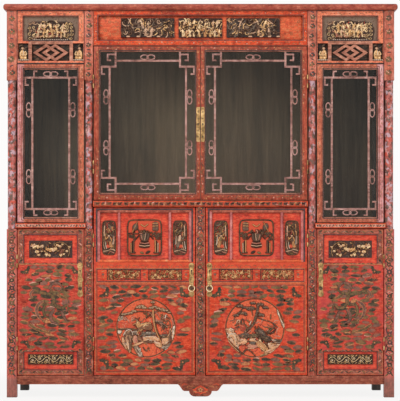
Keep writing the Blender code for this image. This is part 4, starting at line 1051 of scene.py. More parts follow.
def paintFrames():
    sheet = Print(doorFront)
    dotsOn(sheet, (-0.56, 1.8935), (0.56, 1.8935), 0.055, 0.0042, 41)
    dotsOn(sheet, (-0.56, 2.053), (0.56, 2.053), 0.066, 0.0042, 42)
    for x in (-0.5597, 0.5597):
        dotsOn(sheet, (x, 1.9), (x, 2.045), 0.04, 0.004, 43)
    # painted shade: dark lines along the frieze frame's seams and round its opening
    lineRing(sheet, (-0.5714, 1.8798), (0.5714, 2.0649), 0.0036, "brown")
    lineRing(sheet, (-0.5497, 1.9065), (0.5497, 2.0422), 0.003, "slate")
    sheet.piece("frieze_flowers", "case", "red_lacquer")
    for word, side in sides.items():
        sheet = Print(doorFront)
        near, far = spread(side, 0.6193, 0.9807)
        dotsOn(sheet, (near, 2.051), (far, 2.051), 0.05, 0.0042, 44)
        dotsOn(sheet, (near, 1.7895), (far, 1.7895), 0.05, 0.003, 45)
        dotsOn(sheet, (near + 0.08, 1.897), (far - 0.08, 1.897), 0.045, 0.003, 46)
        for x in (near + 0.017, far - 0.017):
            dotsOn(sheet, (x, 1.905), (x, 2.04), 0.045, 0.0042, 47)
        # painted shade: dark lines along the transom frame's seams and round its opening
        lineRing(sheet, (near + 0.0019, 1.7843), (far - 0.0019, 2.0649), 0.0038, "slate")
        lineRing(sheet, (near + 0.0325, 1.9065), (far - 0.0325, 2.0378), 0.003, "slate")
        sheet.piece(f"transom_{word}_flowers", "case", "red_lacquer")
        door = f"glazed_door_centre_{word}"
        sheet = Print(doorFront)
        near, far = spread(side, 0.0015, 0.5695)
        for z, seed in ((1.8635, 51), (1.0685, 52)):
            dotsOn(sheet, (near + 0.02, z), (far - 0.02, z), 0.044, 0.0056, seed)
        meet, hung = (near + 0.0095, far - 0.0215) if side > 0 else (far - 0.0095, near + 0.0215)
        for x in (meet, hung):
            dotsOn(sheet, (x, 1.09), (x, 1.35), 0.042, 0.0056, 53)
            dotsOn(sheet, (x, 1.565), (x, 1.85), 0.042, 0.0056, 54)
        left, right = (0.027, 0.035) if side > 0 else (0.035, 0.027)
        # painted shade: dark lines round the glazed door's opening
        lineRing(sheet, (near + left - 0.0025, 1.085), (far - right + 0.0025, 1.8525), 0.0032, "slate")
        lineRing(sheet, (near + left - 0.0105, 1.0755), (far - right + 0.0105, 1.8615), 0.0026, "brown")
        sheet.piece(f"{door}_flowers", door, "red_lacquer")
        door = f"glazed_door_side_{word}"
        sheet = Print(doorFront)
        near, far = spread(side, 0.623, 0.977)
        for z, seed in ((1.769, 55), (0.944, 56)):
            dotsOn(sheet, (near + 0.02, z), (far - 0.02, z), 0.05, 0.0042, seed)
        for x in (near + 0.0105, far - 0.0105):
            dotsOn(sheet, (x, 0.96), (x, 1.76), 0.06, 0.0046, 57)
        # painted shade: dark lines round the glazed door's opening
        lineRing(sheet, (near + 0.0325, 0.9555), (far - 0.0325, 1.758), 0.0032, "slate")
        lineRing(sheet, (near + 0.0215, 0.9475), (far - 0.0215, 1.7665), 0.003, "brown")
        sheet.piece(f"{door}_flowers", door, "red_lacquer")
    # scribbled flowers on the red ends of the frieze board
    sheet = Print(boardFront)
    rng = np.random.RandomState(61)
    for side in (-1, 1):
        for row in range(6):
            for column in range(5):
                x = side * (0.442 + 0.022 * column + rng.uniform(-0.004, 0.004))
                z = 1.922 + 0.0208 * row + rng.uniform(-0.004, 0.004)
                name = rng.choice(["ochre", "ochre", "olive", "orange"])
                sheet.put("hook" if rng.rand() < 0.6 else "curl", (x, z), 0.0095, rng.uniform(-0.8, 0.8),
                          rng.rand() < 0.5, name)
    sheet.piece("frieze_end_scribbles", "case", "gilt_carving")


paintFrames()
print("frames painted")


# Waists, pendant and brass: petals, a flower, keyholes and rivets

waistSet = dict(centreStep=0.031, sideStep=0.0165, centre=0.0102, side=0.0076)


def paintWaists():
    rng = np.random.RandomState(77)
    for bay, low, high, z, tall in (
        ("centre", -0.568, 0.568, 1.0336, waistSet["centre"]),
        ("left", -0.984, -0.616, 0.9168, waistSet["side"]),
        ("right", 0.616, 0.984, 0.9168, waistSet["side"]),
    ):
        sheet = Print(waistFront)
        centre = bay == "centre"
        names = ["orange", "ochre", "orange", "pink"]
        if not centre:
            names = ["pink", "pink", "ochre", "orange", "mauve"]
        step = waistSet["centreStep" if centre else "sideStep"]
        count = int((high - low) / step)
        block(sheet, (low, z - tall), (high, z + tall), "brown" if centre else "pink", 0.0002)
        for i in range(count):
            x = low + (i + 0.5 + rng.uniform(-0.14, 0.14)) * (high - low) / count
            wide = step * rng.uniform(0.16, 0.26)
            lean = rng.choice([-0.6, 0.6]) + rng.uniform(-0.2, 0.2)
            for turn in (-1.0, 0.0, 1.0) if centre else ():
                size = (tall * rng.uniform(0.8, 1.1), tall * rng.uniform(1.2, 1.6))
                spot = (x + turn * tall * 0.62, z + rng.uniform(-0.25, 0.25) * tall)
                name = rng.choice(["dark", "dark", "slate", "olive"])
                sheet.put("leaf", spot, size, turn + lean * 0.5, paint=name, proud=0.0004)
            if not centre:
                sheet.put("bloom", (x, z), (wide, tall), lean,
                          paint="dark" if rng.rand() < 0.7 else "slate")
            for lift in (-0.45, 0.45):
                spot = (x + (0.5 + 0.16 * lift) * step + rng.uniform(-0.002, 0.002), z + lift * tall)
                size = (tall * rng.uniform(0.6, 1.0), tall * rng.uniform(1.0, 1.4))
                sheet.put("leaf", spot, size, lift * 2 + lean, paint=rng.choice(names), proud=0.0006)
        sheet.piece(f"waist_{bay}_petals", "case", "red_lacquer")


def paintPendant():
    sheet = Print(doorFront)
    sheet.put("bloom", (0.0, 0.04), (0.042, 0.024), paint="orange")
    sheet.put("bloom", (0.0, 0.04), (0.026, 0.016), paint="brown", proud=0.0006)
    sheet.put("flower", (0.0, 0.04), 0.014, 0.3, paint="ochre", proud=0.0008)
    sheet.put("dot", (0.0, 0.04), 0.0045, paint="dark", proud=0.001)
    for hand in (-1, 1):
        for u, v, size, turn, name in (
                (0.028, 0.03, 0.013, 0.3, "ochre"), (0.03, 0.052, 0.014, -0.3, "dark"),
                (0.056, 0.056, 0.017, 0.1, "ochre"), (0.084, 0.068, 0.016, 0.0, "orange"),
                (0.19, 0.09, 0.02, 0.0, "ochre")):
            sheet.put("hook" if size > 0.0145 else "leaf", (hand * u, v), size, hand * turn, hand < 0, name,
                      0.0006)
    sheet.piece("base_rail_flower", "case", "red_lacquer")


brassPaints = dict(dark=reds["dark"], brass=brass)


def dressBrass():
    for word, side in sides.items():
        for bay, x in plateAt.items():
            plate = f"lock_plate_{bay}_{word}"
            sheet = Print(plateFront, brassPaints)
            sheet.put("dot", (side * x, 0.676), (0.0042, 0.0052), paint="dark")
            sheet.put("square", (side * x, 0.667), (0.0016, 0.0075), paint="dark")
            # painted shade: a dark disc on the plate behind the ring pull
            sheet.put("bloom", (side * x, 0.5825), 0.0112, paint="dark")
            for z in (0.7065, 0.6495, 0.6215, 0.549):
                for hand in (-1, 1):
                    sheet.put("dot", (side * x + hand * 0.0062, z), 0.0022, paint="brass", proud=0.0012)
                sheet.put("wisp", (side * x, z - 0.0075), (0.0095, 0.004), paint="dark", proud=0.0002)
            sheet.piece(f"{plate}_details", bodyOf[plate], "aged_brass")
        strip = f"lock_strip_{word}"
        sheet = Print(plateFront, brassPaints)
        for z in (1.392, 1.425, 1.49, 1.524):
            sheet.put("flower", (side * stripAt, z), 0.0052, 0.3, paint="dark", proud=0.0003)
            sheet.put("dot", (side * stripAt, z), 0.0018, paint="brass", proud=0.0008)
        sheet.put("dot", (side * stripAt, 1.4585), (0.0038, 0.0075), paint="dark")
        for z in (1.374, 1.442, 1.474, 1.543):
            sheet.put("wisp", (side * stripAt, z), (0.0078, 0.0035), paint="dark", proud=0.0002)
        sheet.piece(f"{strip}_details", bodyOf[strip], "aged_brass")


paintWaists()
paintPendant()
dressBrass()
print("waists, pendant and brass dressed")


# Carvings: heights and paints are pressed into a fine grid, brush by brush

class Carving:
    def __init__(self, width, height, cell, ground, roundness=0.0, bow=2):
        self.across, self.up = round(width / cell), round(height / cell)
        u, v = np.meshgrid(np.linspace(-1, 1, self.across + 1), np.linspace(-1, 1, self.up + 1))
        self.x = (u * np.sqrt(1 - roundness * v ** bow / 2) * width / 2).ravel()
        self.z = (v * np.sqrt(1 - roundness * u ** bow / 2) * height / 2).ravel()
        self.rise = np.zeros(self.x.size)
        self.tint = np.tile(np.array(ground), (self.x.size, 1))

    def near(self, x, z, reach):
        return np.nonzero((np.abs(self.x - x) < reach) & (np.abs(self.z - z) < reach))[0]

    def press(self, spots, cover, height, colour):
        # only what stands proud of the work so far is kept, in a dye that has a name or is mixed for it
        shown = cover & (height > self.rise[spots])
        self.rise[spots[shown]] = height[shown]
        self.tint[spots[shown]] = dyes.get(colour, colour)

    def blob(self, x, z, half, rise, colour, turn=0.0, base=0.0, dome=0.5):
        wide, tall = half if isinstance(half, tuple) else (half, half)
        spots = self.near(x, z, max(wide, tall))
        du, dv = self.x[spots] - x, self.z[spots] - z
        cos, sin = math.cos(turn), math.sin(turn)
        u, v = (du * cos + dv * sin) / wide, (dv * cos - du * sin) / tall
        reach = u * u + v * v
        height = base + rise * np.clip(1 - reach, 0, 1) ** dome
        self.press(spots, reach < 1, height, colour)

    def stroke(self, points, wide, thin, rise, colour, base=0.0, dome=0.5):
        points = np.array(points, float)
        count = len(points) - 1
        widths = np.linspace(wide, thin, count + 1) / 2
        for i in range(count):
            a, b = points[i], points[i + 1]
            middle, reach = (a + b) / 2, np.linalg.norm(b - a) / 2 + max(widths[i], widths[i + 1])
            spots = self.near(middle[0], middle[1], reach)
            run = b - a
            du, dv = self.x[spots] - a[0], self.z[spots] - a[1]
            t = np.clip((du * run[0] + dv * run[1]) / max(run @ run, 1e-12), 0, 1)
            away = np.hypot(du - t * run[0], dv - t * run[1])
            half = widths[i] + (widths[i + 1] - widths[i]) * t
            share = away / half
            self.press(spots, share < 1, base + rise * np.clip(1 - share * share, 0, 1) ** dome, colour)

    def patch(self, knots, rise, colour, base=0.0, edge=None, soft=0.0035, line=0.002):
        # a freely drawn shape, rounded towards its outline, which may have a paint of its own
        outline = smoothLine(list(knots) + [knots[0]], 4)
        low, high = outline.min(axis=0), outline.max(axis=0)
        across = (self.x > low[0]) & (self.x < high[0])
        spots = np.nonzero(across & (self.z > low[1]) & (self.z < high[1]))[0]
        x, z = self.x[spots], self.z[spots]
        inside, away = np.zeros(spots.size, bool), np.ones(spots.size)
        for a, b in zip(outline, outline[1:]):
            run = b - a
            meets = a[0] + (z - a[1]) * run[0] / (run[1] if run[1] else 1e-9)
            inside ^= ((a[1] > z) != (b[1] > z)) & (x < meets)
            t = np.clip(((x - a[0]) * run[0] + (z - a[1]) * run[1]) / max(run @ run, 1e-12), 0, 1)
            away = np.minimum(away, np.hypot(x - a[0] - t * run[0], z - a[1] - t * run[1]))
        height = base + rise * (0.55 + 0.45 * np.sqrt(np.clip(away / soft, 0, 1)))
        self.press(spots, inside, height, colour)
        if edge:
            self.press(spots, inside & (away < line), height + 0.0002, edge)

    def leaf(self, x, z, long, wide, turn, rise, colour, base=0.0):
        spots = self.near(x, z, long / 2)
        du, dv = self.x[spots] - x, self.z[spots] - z
        cos, sin = math.cos(turn), math.sin(turn)
        u, v = (du * cos + dv * sin) / (long / 2), (dv * cos - du * sin) / (wide / 2)
        edge = np.clip(1 - u * u, 0, 1)
        share = np.abs(v) / np.maximum(edge, 1e-6)
        dome = rise * np.sqrt(np.clip(1 - share * share, 0, 1))
        vein = 0.35 * rise * np.exp(-(v / 0.16) ** 2)
        height = base + dome * (0.55 + 0.45 * edge) - vein
        self.press(spots, (share < 1) & (np.abs(u) < 1), height, colour)

    def flower(self, x, z, radius, rise, colour, heart):
        # five petals round four smaller ones and a heart
        for ring, (size, count, lift) in enumerate(((0.62, 5, 0.7), (0.34, 4, 0.9))):
            for i in range(count):
                angle = 2 * math.pi * (i + 0.5 * ring) / count
                spot = (x + size * radius * math.cos(angle), z + size * radius * math.sin(angle))
                self.blob(*spot, (radius * 0.42, radius * 0.34), rise * lift, colour, angle)
        self.blob(x, z, radius * 0.24, rise, heart, 0.0, 0.1 * rise)

    def curl(self, x, z, radius, start, hand, width, rise, colour, base=0.0):
        line = spiralLine((x, z), radius, radius * 0.2, start, hand * 1.2, 16)
        self.stroke(line, width, width * 0.6, rise, colour, base)

    def board(self, name, spot, body, depth=0.004, finish=None):
        letGo()
        bpy.ops.mesh.primitive_grid_add(x_subdivisions=self.across, y_subdivisions=self.up, size=2.0)
        obj = bpy.context.object
        obj.name = name
        coords = np.stack([self.x + spot[0], spot[1] - self.rise, self.z + spot[2]], axis=1)
        obj.data.vertices.foreach_set("co", coords.ravel())
        field = self.rise.reshape(self.up + 1, self.across + 1)
        smooth = field.copy()
        for _ in range(7):
            padded = np.pad(smooth, 1, mode="edge")
            beside = padded[1:-1, :-2] + padded[1:-1, 2:]
            smooth = (beside + padded[:-2, 1:-1] + padded[2:, 1:-1] + smooth) / 5
        hollow = np.clip((smooth - field) / 0.0016, -1, 1).ravel()
        tint = obj.data.attributes.new("tint", "FLOAT_COLOR", "POINT")
        tint.data.foreach_set("color", self.tint.ravel())
        hollowLayer = obj.data.attributes.new("hollow", "FLOAT", "POINT")
        hollowLayer.data.foreach_set("value", hollow)
        bpy.ops.object.mode_set(mode="EDIT")
        bpy.ops.mesh.select_all(action="SELECT")
        bpy.ops.mesh.region_to_loop()
        bpy.ops.mesh.extrude_edges_move(TRANSFORM_OT_translate={"value": (0.0, depth, 0.0)})
        bpy.ops.object.mode_set(mode="OBJECT")
        bpy.ops.object.shade_smooth_by_angle(angle=math.radians(65))
        settle(obj, body, "gilt_carving", finish or carvedPaint)


def carvedFinish(name, mottle):
    # the brush paint, darker in the hollows, rubbed here and there, and its gilt paled where it stands
    # proud, as wear and as a painted highlight
    paint = Paint(name, {"Specular IOR Level": 0.35})
    tint = paint.add("ShaderNodeAttribute", {"attribute_name": "tint"}, {}, "Color")
    gilt = paint.add("ShaderNodeAttribute", {"attribute_name": "tint"}, {}, "Alpha")
    hollow = paint.add("ShaderNodeAttribute", {"attribute_name": "hollow"}, {}, "Fac")
    cloudy = paint.noise(70.0, 4.0, 0.62)
    fine = paint.noise(420.0, 3.0, 0.6)
    colour = paint.mix(paint.step(cloudy, 0.35, 0.65) * 0.35, tint, paint.mix(0.5, tint, tone(110, 66, 44)))
    # darker in the hollows
    colour = paint.mix(paint.step(hollow + 0.25 * (cloudy - 0.5), 0.15, 0.8) * 0.75, colour,
                       tone(58, 32, 18))
    # painted highlight and wear: gilt that stands proud is paled towards light gold
    proud = paint.step(0.0 - hollow, 0.1, 0.8)
    colour = paint.mix(proud * 0.3 * gilt, colour, tone(255, 222, 168))
    rubbed = paint.step(fine * 0.6 + cloudy * 0.4, 0.6, 0.7)
    colour = paint.mix(rubbed * 0.4, colour, tone(120, 64, 44))
    if mottle:
        stains = paint.step(paint.noise(96.0, 2.0, 0.5), 0.53, 0.6)
        colour = paint.mix(stains * mottle, colour, paint.mix(0.45, colour, tone(84, 48, 30)))
        glints = paint.step(paint.noise(112.0, 2.0, 0.5), 0.58, 0.65)
        colour = paint.mix(glints * 0.6 * mottle, colour, tone(236, 170, 122))
    metal = gilt * 0.35 * (1 - rubbed)
    rough = 0.5 + 0.2 * cloudy - 0.12 * gilt
    return paint.feed(Base_Color=colour, Metallic=metal, Roughness=rough,
                      Normal=paint.bump(fine * 0.6 + cloudy * 0.4, 0.25, 0.0005))


carvedPaint = carvedFinish("carvedPaint", 0.0)
discPaint = carvedFinish("discPaint", 0.65)


def dye(red, green, blue, gilt=0.0):
    return (*tone(red, green, blue)[:3], gilt)


dyes = dict(
    gold=dye(222, 172, 114, 1.0), paleGold=dye(246, 212, 164, 1.0), deepGold=dye(160, 112, 68, 1.0),
    black=dye(48, 30, 18), dark=dye(82, 60, 44),
    umber=dye(106, 76, 56), grey=dye(126, 106, 88), blueGrey=dye(104, 92, 80), green=dye(92, 78, 52),
    olive=dye(128, 102, 64), cream=dye(222, 178, 144),
    pink=dye(206, 136, 112), red=dye(180, 62, 44), orange=dye(214, 84, 52), ochre=dye(206, 146, 92),
    white=dye(236, 214, 190), brown=dye(136, 86, 58), sand=dye(236, 178, 132),
)


def figureOn(work, x, z, tall, robe, trim, lean=0.0, base=0.0, rise=0.008):
    # a small robed figure: folded skirt, coat, one raised sleeve, head and cap
    sway, hand = lean * tall, 1 if lean > 0 else -1
    hem = (x - 0.5 * sway, z + 0.06 * tall)
    waist = (x + 0.2 * sway, z + 0.46 * tall)
    neck = (x + 0.8 * sway, z + 0.72 * tall)
    work.stroke([hem, waist], 0.36 * tall, 0.27 * tall, rise * 0.72, robe, base)
    work.stroke([waist, neck], 0.25 * tall, 0.27 * tall, rise * 0.86, trim, base)
    for fold in (-0.14, -0.03, 0.09):
        root = (hem[0] + fold * 1.2 * tall, hem[1])
        work.stroke([root, (waist[0] + fold * 0.6 * tall, waist[1])], 0.055 * tall, 0.04 * tall, rise * 0.9,
                    "umber", base)
    low = [(neck[0] - hand * 0.1 * tall, neck[1]), (x + sway - hand * 0.22 * tall, z + 0.5 * tall),
           (x - hand * 0.06 * tall, z + 0.4 * tall)]
    high = [(neck[0] + hand * 0.1 * tall, neck[1]), (x + sway + hand * 0.24 * tall, z + 0.58 * tall),
            (x + sway + hand * 0.27 * tall, z + 0.72 * tall)]
    for sleeve in (low, high):
        work.stroke(sleeve, 0.12 * tall, 0.09 * tall, rise, robe, base)
    work.blob(x + sway, z + 0.85 * tall, (0.09 * tall, 0.1 * tall), rise * 1.05, "cream", base=base)
    work.blob(x + sway, z + 0.95 * tall, (0.1 * tall, 0.06 * tall), rise * 1.1,
              "black" if robe != "black" else trim, base=base)


def clusterOn(work, x, z, radius, names, seed, base=0.0, rise=0.008):
    # a full-blown flower: crumpled petals heaped up
    rng = np.random.RandomState(seed)
    for i in range(9):
        angle, away = 2.4 * i, radius * (0.62 if i < 6 else 0.26)
        half = radius * rng.uniform(0.32, 0.48)
        spot = (x + away * math.cos(angle), z + 0.85 * away * math.sin(angle))
        work.blob(*spot, (half, half * 0.75), rise * rng.uniform(0.65, 1.0), rng.choice(names),
                  rng.uniform(0, 3), base)


def tangleOn(work, low, high, count, long, wide, names, seed, base=0.0, rise=0.005, lean=None):
    # crossing bent strokes, as in deep openwork
    rng = np.random.RandomState(seed)
    for _ in range(count):
        x, z = rng.uniform(low[0], high[0]), rng.uniform(low[1], high[1])
        turn = rng.uniform(0, 6.28) if lean is None else lean + rng.uniform(-0.7, 0.7)
        half, bend = long * rng.uniform(0.35, 0.6), long * rng.uniform(-0.3, 0.3)
        cos, sin = math.cos(turn), math.sin(turn)
        start = (x - half * cos, z - half * sin)
        end = (x + half * cos, z + half * sin)
        line = smoothLine([start, (x - bend * sin, z + bend * cos), end], 3)
        work.stroke(line, wide * rng.uniform(0.8, 1.3), wide * 0.6, rise * rng.uniform(0.5, 1.0),
                    rng.choice(names), base)


def curlsOn(work, low, high, step, size, names, seed, base=0.0, rise=0.005):
    # openwork of small scrolls
    rng = np.random.RandomState(seed)
    rows = max(1, round((high[1] - low[1]) / step))
    columns = max(1, round((high[0] - low[0]) / step))
    for row in range(rows):
        for column in range(columns):
            x = low[0] + (column + 0.5) * (high[0] - low[0]) / columns + rng.uniform(-0.15, 0.15) * step
            z = low[1] + (row + 0.5) * (high[1] - low[1]) / rows + rng.uniform(-0.15, 0.15) * step
            hand = 1 if (row + column) % 2 else -1
            work.curl(x, z, size * rng.uniform(0.85, 1.15), rng.uniform(0, 6.28), hand, size * 0.42,
                      rise * rng.uniform(0.7, 1.0), rng.choice(names), base)


def rocksOn(work, spots, names, seed, base=0.0, rise=0.0062):
    # weathered rocks: bent folds side by side over a dark lump
    rng = np.random.RandomState(seed)
    for i, (x, z, long, wide, turn) in enumerate(spots):
        cos, sin = math.cos(turn), math.sin(turn)
        work.blob(x, z, (long * 1.04, wide * 1.08), rise * 0.45, "umber", turn, base, 0.3)
        count = max(3, round(wide / 0.0036))
        bow = rng.uniform(-0.25, 0.25) * long
        for k in range(count):
            off = (2 * k + 1) / count - 1
            reach = long * math.sqrt(1 - 0.75 * off * off) * rng.uniform(0.75, 1.0)
            marks = [(-reach, off * wide), (rng.uniform(-0.2, 0.2) * reach, off * wide + bow * 0.4),
                     (reach, off * wide * 0.8)]
            line = smoothLine([(x + u * cos - v * sin, z + u * sin + v * cos) for u, v in marks], 4)
            thick = 2 * wide / count
            work.stroke(line, thick * rng.uniform(0.7, 1.1), thick * 0.5, rise * rng.uniform(0.7, 1.0),
                        names[(i + k) % len(names)], base)


def crowdOn(work, low, high, floors, tall, robes, trims, seed, base=0.001, rise=0.008):
    # rows of small robed figures, the nearer row in front
    rng = np.random.RandomState(seed)
    for place, floor in enumerate(floors):
        x = low + rng.uniform(0.0, 0.3) * tall
        while x < high:
            size = tall * rng.uniform(0.8, 1.15)
            figureOn(work, x, floor, size, rng.choice(robes), rng.choice(trims), rng.uniform(-0.22, 0.22),
                     base + 0.0015 * place, rise)
            x += tall * rng.uniform(0.4, 0.75)


def letIn(work, name, bay, word, spot, finish=None, rim=None, rimPaint="dark"):
    # sets a carving into a cupboard door, inside a rim if one is wanted
    body = f"cupboard_door_{bay}_{word}"
    work.board(name, (spot[0], carvingBack, spot[1]), body, 0.002, finish)
    if rim:
        rimOn(name.replace("relief", "rim"), work, spot, rim, body, paints[rimPaint])


def transomCarving(word, side):
    # figures heaped behind a rail, between ends of openwork scrolls
    work = Carving(0.2918, 0.1324, 0.0012, dye(126, 104, 86))
    tangleOn(work, (-0.14, -0.062), (0.14, 0.062), 300, 0.011, 0.0022,
             ["grey", "umber", "blueGrey", "dark"], 2, 0.0, 0.001)
    work.stroke([(-0.076, -0.013), (0.078, -0.013)], 0.106, 0.106, 0.0016, "black", dome=0.1)
    pierced = ["cream", "paleGold", "paleGold", "black"]
    for hand in (-1, 1):
        work.stroke([(hand * 0.104, -0.048), (hand * 0.103, 0.02)], 0.044, 0.034, 0.0016, "black", dome=0.1)
        curlsOn(work, (hand * 0.101 - 0.021, -0.062), (hand * 0.101 + 0.02, 0.038), 0.019, 0.0086,
                pierced[:3], 5 + hand, 0.001, 0.0076)
    tangleOn(work, (-0.084, -0.03), (0.086, 0.036), 66, 0.024, 0.006, pierced + ["gold", "red"], 3 + side,
             0.0, 0.0062)
    for x, top in ((-0.04, 0.03), (0.0, 0.042), (0.042, 0.03)):
        arch = []
        for t in np.linspace(0, math.pi, 9):
            arch.append((x + 0.022 * math.cos(t), top - 0.016 + 0.016 * math.sin(t)))
        work.stroke(arch, 0.0052, 0.0052, 0.0072, "black", 0.001)
    crowdOn(work, -0.064, 0.07, (-0.014,), 0.046, ["gold", "paleGold", "paleGold"],
            ["paleGold", "gold", "cream"], 6 + side)
    crowdOn(work, -0.078, 0.082, (-0.041,), 0.04, ["paleGold", "gold", "pink"],
            ["cream", "gold", "deepGold"], 16 + side, 0.003)
    tangleOn(work, (-0.086, -0.044), (0.086, -0.034), 40, 0.016, 0.0036,
             ["gold", "paleGold", "pink", "umber", "cream"], 9 + side, 0.003, 0.0088)
    # painted shadow: a black band along the foot, under the row of pale beads
    work.stroke([(-0.096, -0.058), (0.096, -0.058)], 0.0125, 0.0125, 0.0062, "black", 0.001, 0.2)
    for x in np.linspace(-0.088, 0.088, 19):
        work.blob(x, -0.0585, (0.0036, 0.0046), 0.0078, "white", base=0.001)
    work.board(f"transom_{word}_relief", (side * sideMiddle, boardBack, 1.9692), "case")


def nicheFigure(word, side, x, lean):
    # a seated figure in a dark niche, on a pale step
    work = Carving(0.0554, 0.0946, 0.001, dye(24, 20, 18))
    seed = 8 + int(x * 100)
    tangleOn(work, (-0.024, -0.01), (0.024, 0.042), 18, 0.018, 0.0042,
             ["black", "black", "dark", "blueGrey", "grey"], seed, 0.0, 0.006)
    robe = [(-0.018, -0.037), (-0.0195, -0.014), (-0.012, 0.006), (0.0, 0.013), (0.012, 0.006),
            (0.0195, -0.014), (0.018, -0.037)]
    work.patch([(u + lean * 0.08 * (v + 0.037) / 0.05, v) for u, v in robe], 0.011, "gold", 0.0, "umber")
    for hand in (-1, 1):
        sleeve = [(hand * 0.011, 0.004), (hand * 0.018, -0.009 + hand * 0.03 * lean),
                  (hand * 0.004, -0.015)]
        work.stroke(smoothLine(sleeve, 4), 0.0085, 0.006, 0.0128, "paleGold")
        work.blob(hand * 0.0105, -0.029, (0.0088, 0.0075), 0.0125, "paleGold" if hand > 0 else "gold")
        work.stroke([(hand * 0.003, -0.017), (hand * 0.002, -0.037)], 0.0034, 0.0028, 0.0128, "umber")
        work.stroke([(hand * 0.014, -0.018), (hand * 0.0175, -0.034)], 0.003, 0.0026, 0.0125, "deepGold")
        work.stroke([(hand * 0.0078, -0.003), (hand * 0.009, -0.019)], 0.0034, 0.003, 0.0136, "black")
    work.stroke([(0.0008, 0.006), (0.0, -0.013)], 0.0075, 0.0055, 0.0138,
                "white" if x > sideMiddle else "cream")
    work.stroke([(-0.0125, -0.0205), (0.0125, -0.0215)], 0.0036, 0.0036, 0.0138, "dark")
    work.blob(lean * 0.06, 0.021, (0.0078, 0.0092), 0.0135, "cream")
    work.blob(lean * 0.06, 0.029, (0.0088, 0.0048), 0.014, "black")
    work.leaf(lean * 0.1 - 0.006, 0.037, 0.026, 0.011, 0.6 + 3 * lean, 0.0125, "grey", 0.001)
    work.stroke([(-0.027, -0.0415), (0.027, -0.0415)], 0.0075, 0.0075, 0.0138, "white", 0.0, 0.15)
    for u in (-0.02, -0.01, 0.0, 0.01, 0.02):
        work.blob(u, -0.0415, (0.0022, 0.0026), 0.0025, "umber", base=0.0128)
    place = "inner" if x < sideMiddle else "outer"
    work.board(f"niche_{word}_{place}_figure", (side * x, -0.2152, 1.844), "case", 0.0004)


def friezeCarving(place, x, width, names, robes, seed, span, feet):
    # a crowded scene: bent boughs and curls over black, a few figures and a dark foot
    work = Carving(width, 0.1036, 0.0012, dye(28, 20, 14))
    half = width / 2 - 0.006
    tangleOn(work, (-half, -0.038), (half, 0.046), int(360 * width), 0.032, 0.0072, names, seed, 0.0,
             0.0058)
    curlsOn(work, (-half, -0.04), (half, 0.048), 0.03, 0.0122, names, seed + 2, 0.0, 0.0066)
    crowdOn(work, span[0], span[1], (0.0, -0.044), 0.044, robes, ["cream", "paleGold", "dark"], seed, 0.001,
            0.0074)
    tangleOn(work, (-half, -0.038), (half, 0.046), int(200 * width), 0.026, 0.0062,
             names + ["black", "black"], seed + 1, 0.001, 0.0084)
    for foot in feet:
        work.stroke([(foot - 0.01, -0.0472), (foot + 0.01, -0.0472)], 0.0095, 0.0095, 0.0105,
                    dye(16, 12, 10), 0.0, 0.1)
        work.stroke([(foot + 0.017, -0.0462), (foot + 0.03, -0.0462)], 0.0085, 0.0085, 0.0085, robes[0],
                    0.0, 0.3)
    work.board(f"frieze_{place}_relief", (x, boardBack, 1.9744), "case")


def friezeCarvings():
    dull = ["cream", "grey", "blueGrey", "umber", "umber", "gold", "dark", "black", "black"]
    friezeCarving("left", -0.282, 0.2856, dull + ["black", "dark"], ["cream", "grey", "gold"], 12,
                  (-0.05, 0.03), (-0.128, -0.074, -0.02, 0.034))
    gilt = ["gold", "paleGold", "gold", "deepGold", "umber", "black", "black"]
    friezeCarving("middle", 0.0, 0.2336, gilt, ["gold", "paleGold", "ochre"], 15, (-0.1, 0.1), ())
    friezeCarving("right", 0.282, 0.2856, dull, ["cream", "gold", "umber"], 18, (0.02, 0.1),
                  (-0.04, 0.02, 0.064, 0.11))


def sideTopCarving(word, side):
    # heaped gilt flowers over arcs and thin stems on a dark ground
    work = Carving(0.2316, 0.092, 0.0011, dye(56, 36, 32))
    hand = -side
    tangleOn(work, (-0.108, -0.042), (0.108, 0.042), 150, 0.02, 0.0034,
             ["umber", "dark", "brown", "blueGrey", "black"], 30 + side, 0.0, 0.0044)
    for arch in (0.03, 0.04, 0.05):
        arc = []
        for t in np.linspace(-0.5, 2.3, 14):
            arc.append((hand * (0.05 + arch * math.cos(t)), -0.012 + arch * math.sin(t)))
        work.stroke(arc, 0.0038, 0.0028, 0.006, "deepGold" if arch > 0.045 else "umber", 0.0005)
    gilt = ["gold", "paleGold", "cream", "ochre"]
    heaps = [
        (-0.093, 0.018, 0.017), (-0.07, 0.014, 0.0135), (-0.046, 0.016, 0.0105), (-0.073, -0.013, 0.0125),
        (-0.048, -0.011, 0.006), (-0.032, -0.011, 0.006), (-0.064, -0.03, 0.009),
        (-0.022, -0.029, 0.0115), (-0.006, -0.033, 0.008), (0.036, 0.021, 0.0105), (0.05, 0.016, 0.0095),
        (0.062, 0.026, 0.007), (0.054, -0.031, 0.0105), (0.07, -0.026, 0.007), (0.086, -0.01, 0.0085),
        (0.1, 0.012, 0.007),
    ]
    for i, (u, v, radius) in enumerate(heaps):
        clusterOn(work, hand * u, v, radius, gilt[:3] if i % 3 else gilt, 40 + i, 0.001, 0.0088)
    for i in range(22):
        u, v = 0.1 * math.cos(2.4 * i) * (0.3 + 0.032 * i), 0.036 * math.sin(2.4 * i) * (0.3 + 0.032 * i)
        work.leaf(hand * u, v, 0.017, 0.0068, 1.3 * i, 0.0066, "deepGold" if i % 2 else "brown", 0.0005)
    for u, v, half in ((-0.018, 0.0, 0.011), (-0.004, -0.004, 0.0135), (0.012, -0.002, 0.014),
                       (0.026, 0.002, 0.011)):
        clusterOn(work, hand * u, v, half,
                  ["ochre", "gold", "ochre"] if u < 0 else ["gold", "paleGold", "cream"],
                  int(900 + 1000 * u), 0.002, 0.0098)
    for k in range(5):
        work.curl(hand * (0.054 + 0.009 * (k % 3)), -0.008 - 0.008 * (k // 3), 0.0062, 1.3 * k, hand, 0.003,
                  0.0064, "pink" if k % 2 else "brown", 0.001)
    letIn(work, f"side_{word}_top_relief", "side", word, (side * sideMiddle, 0.7911))


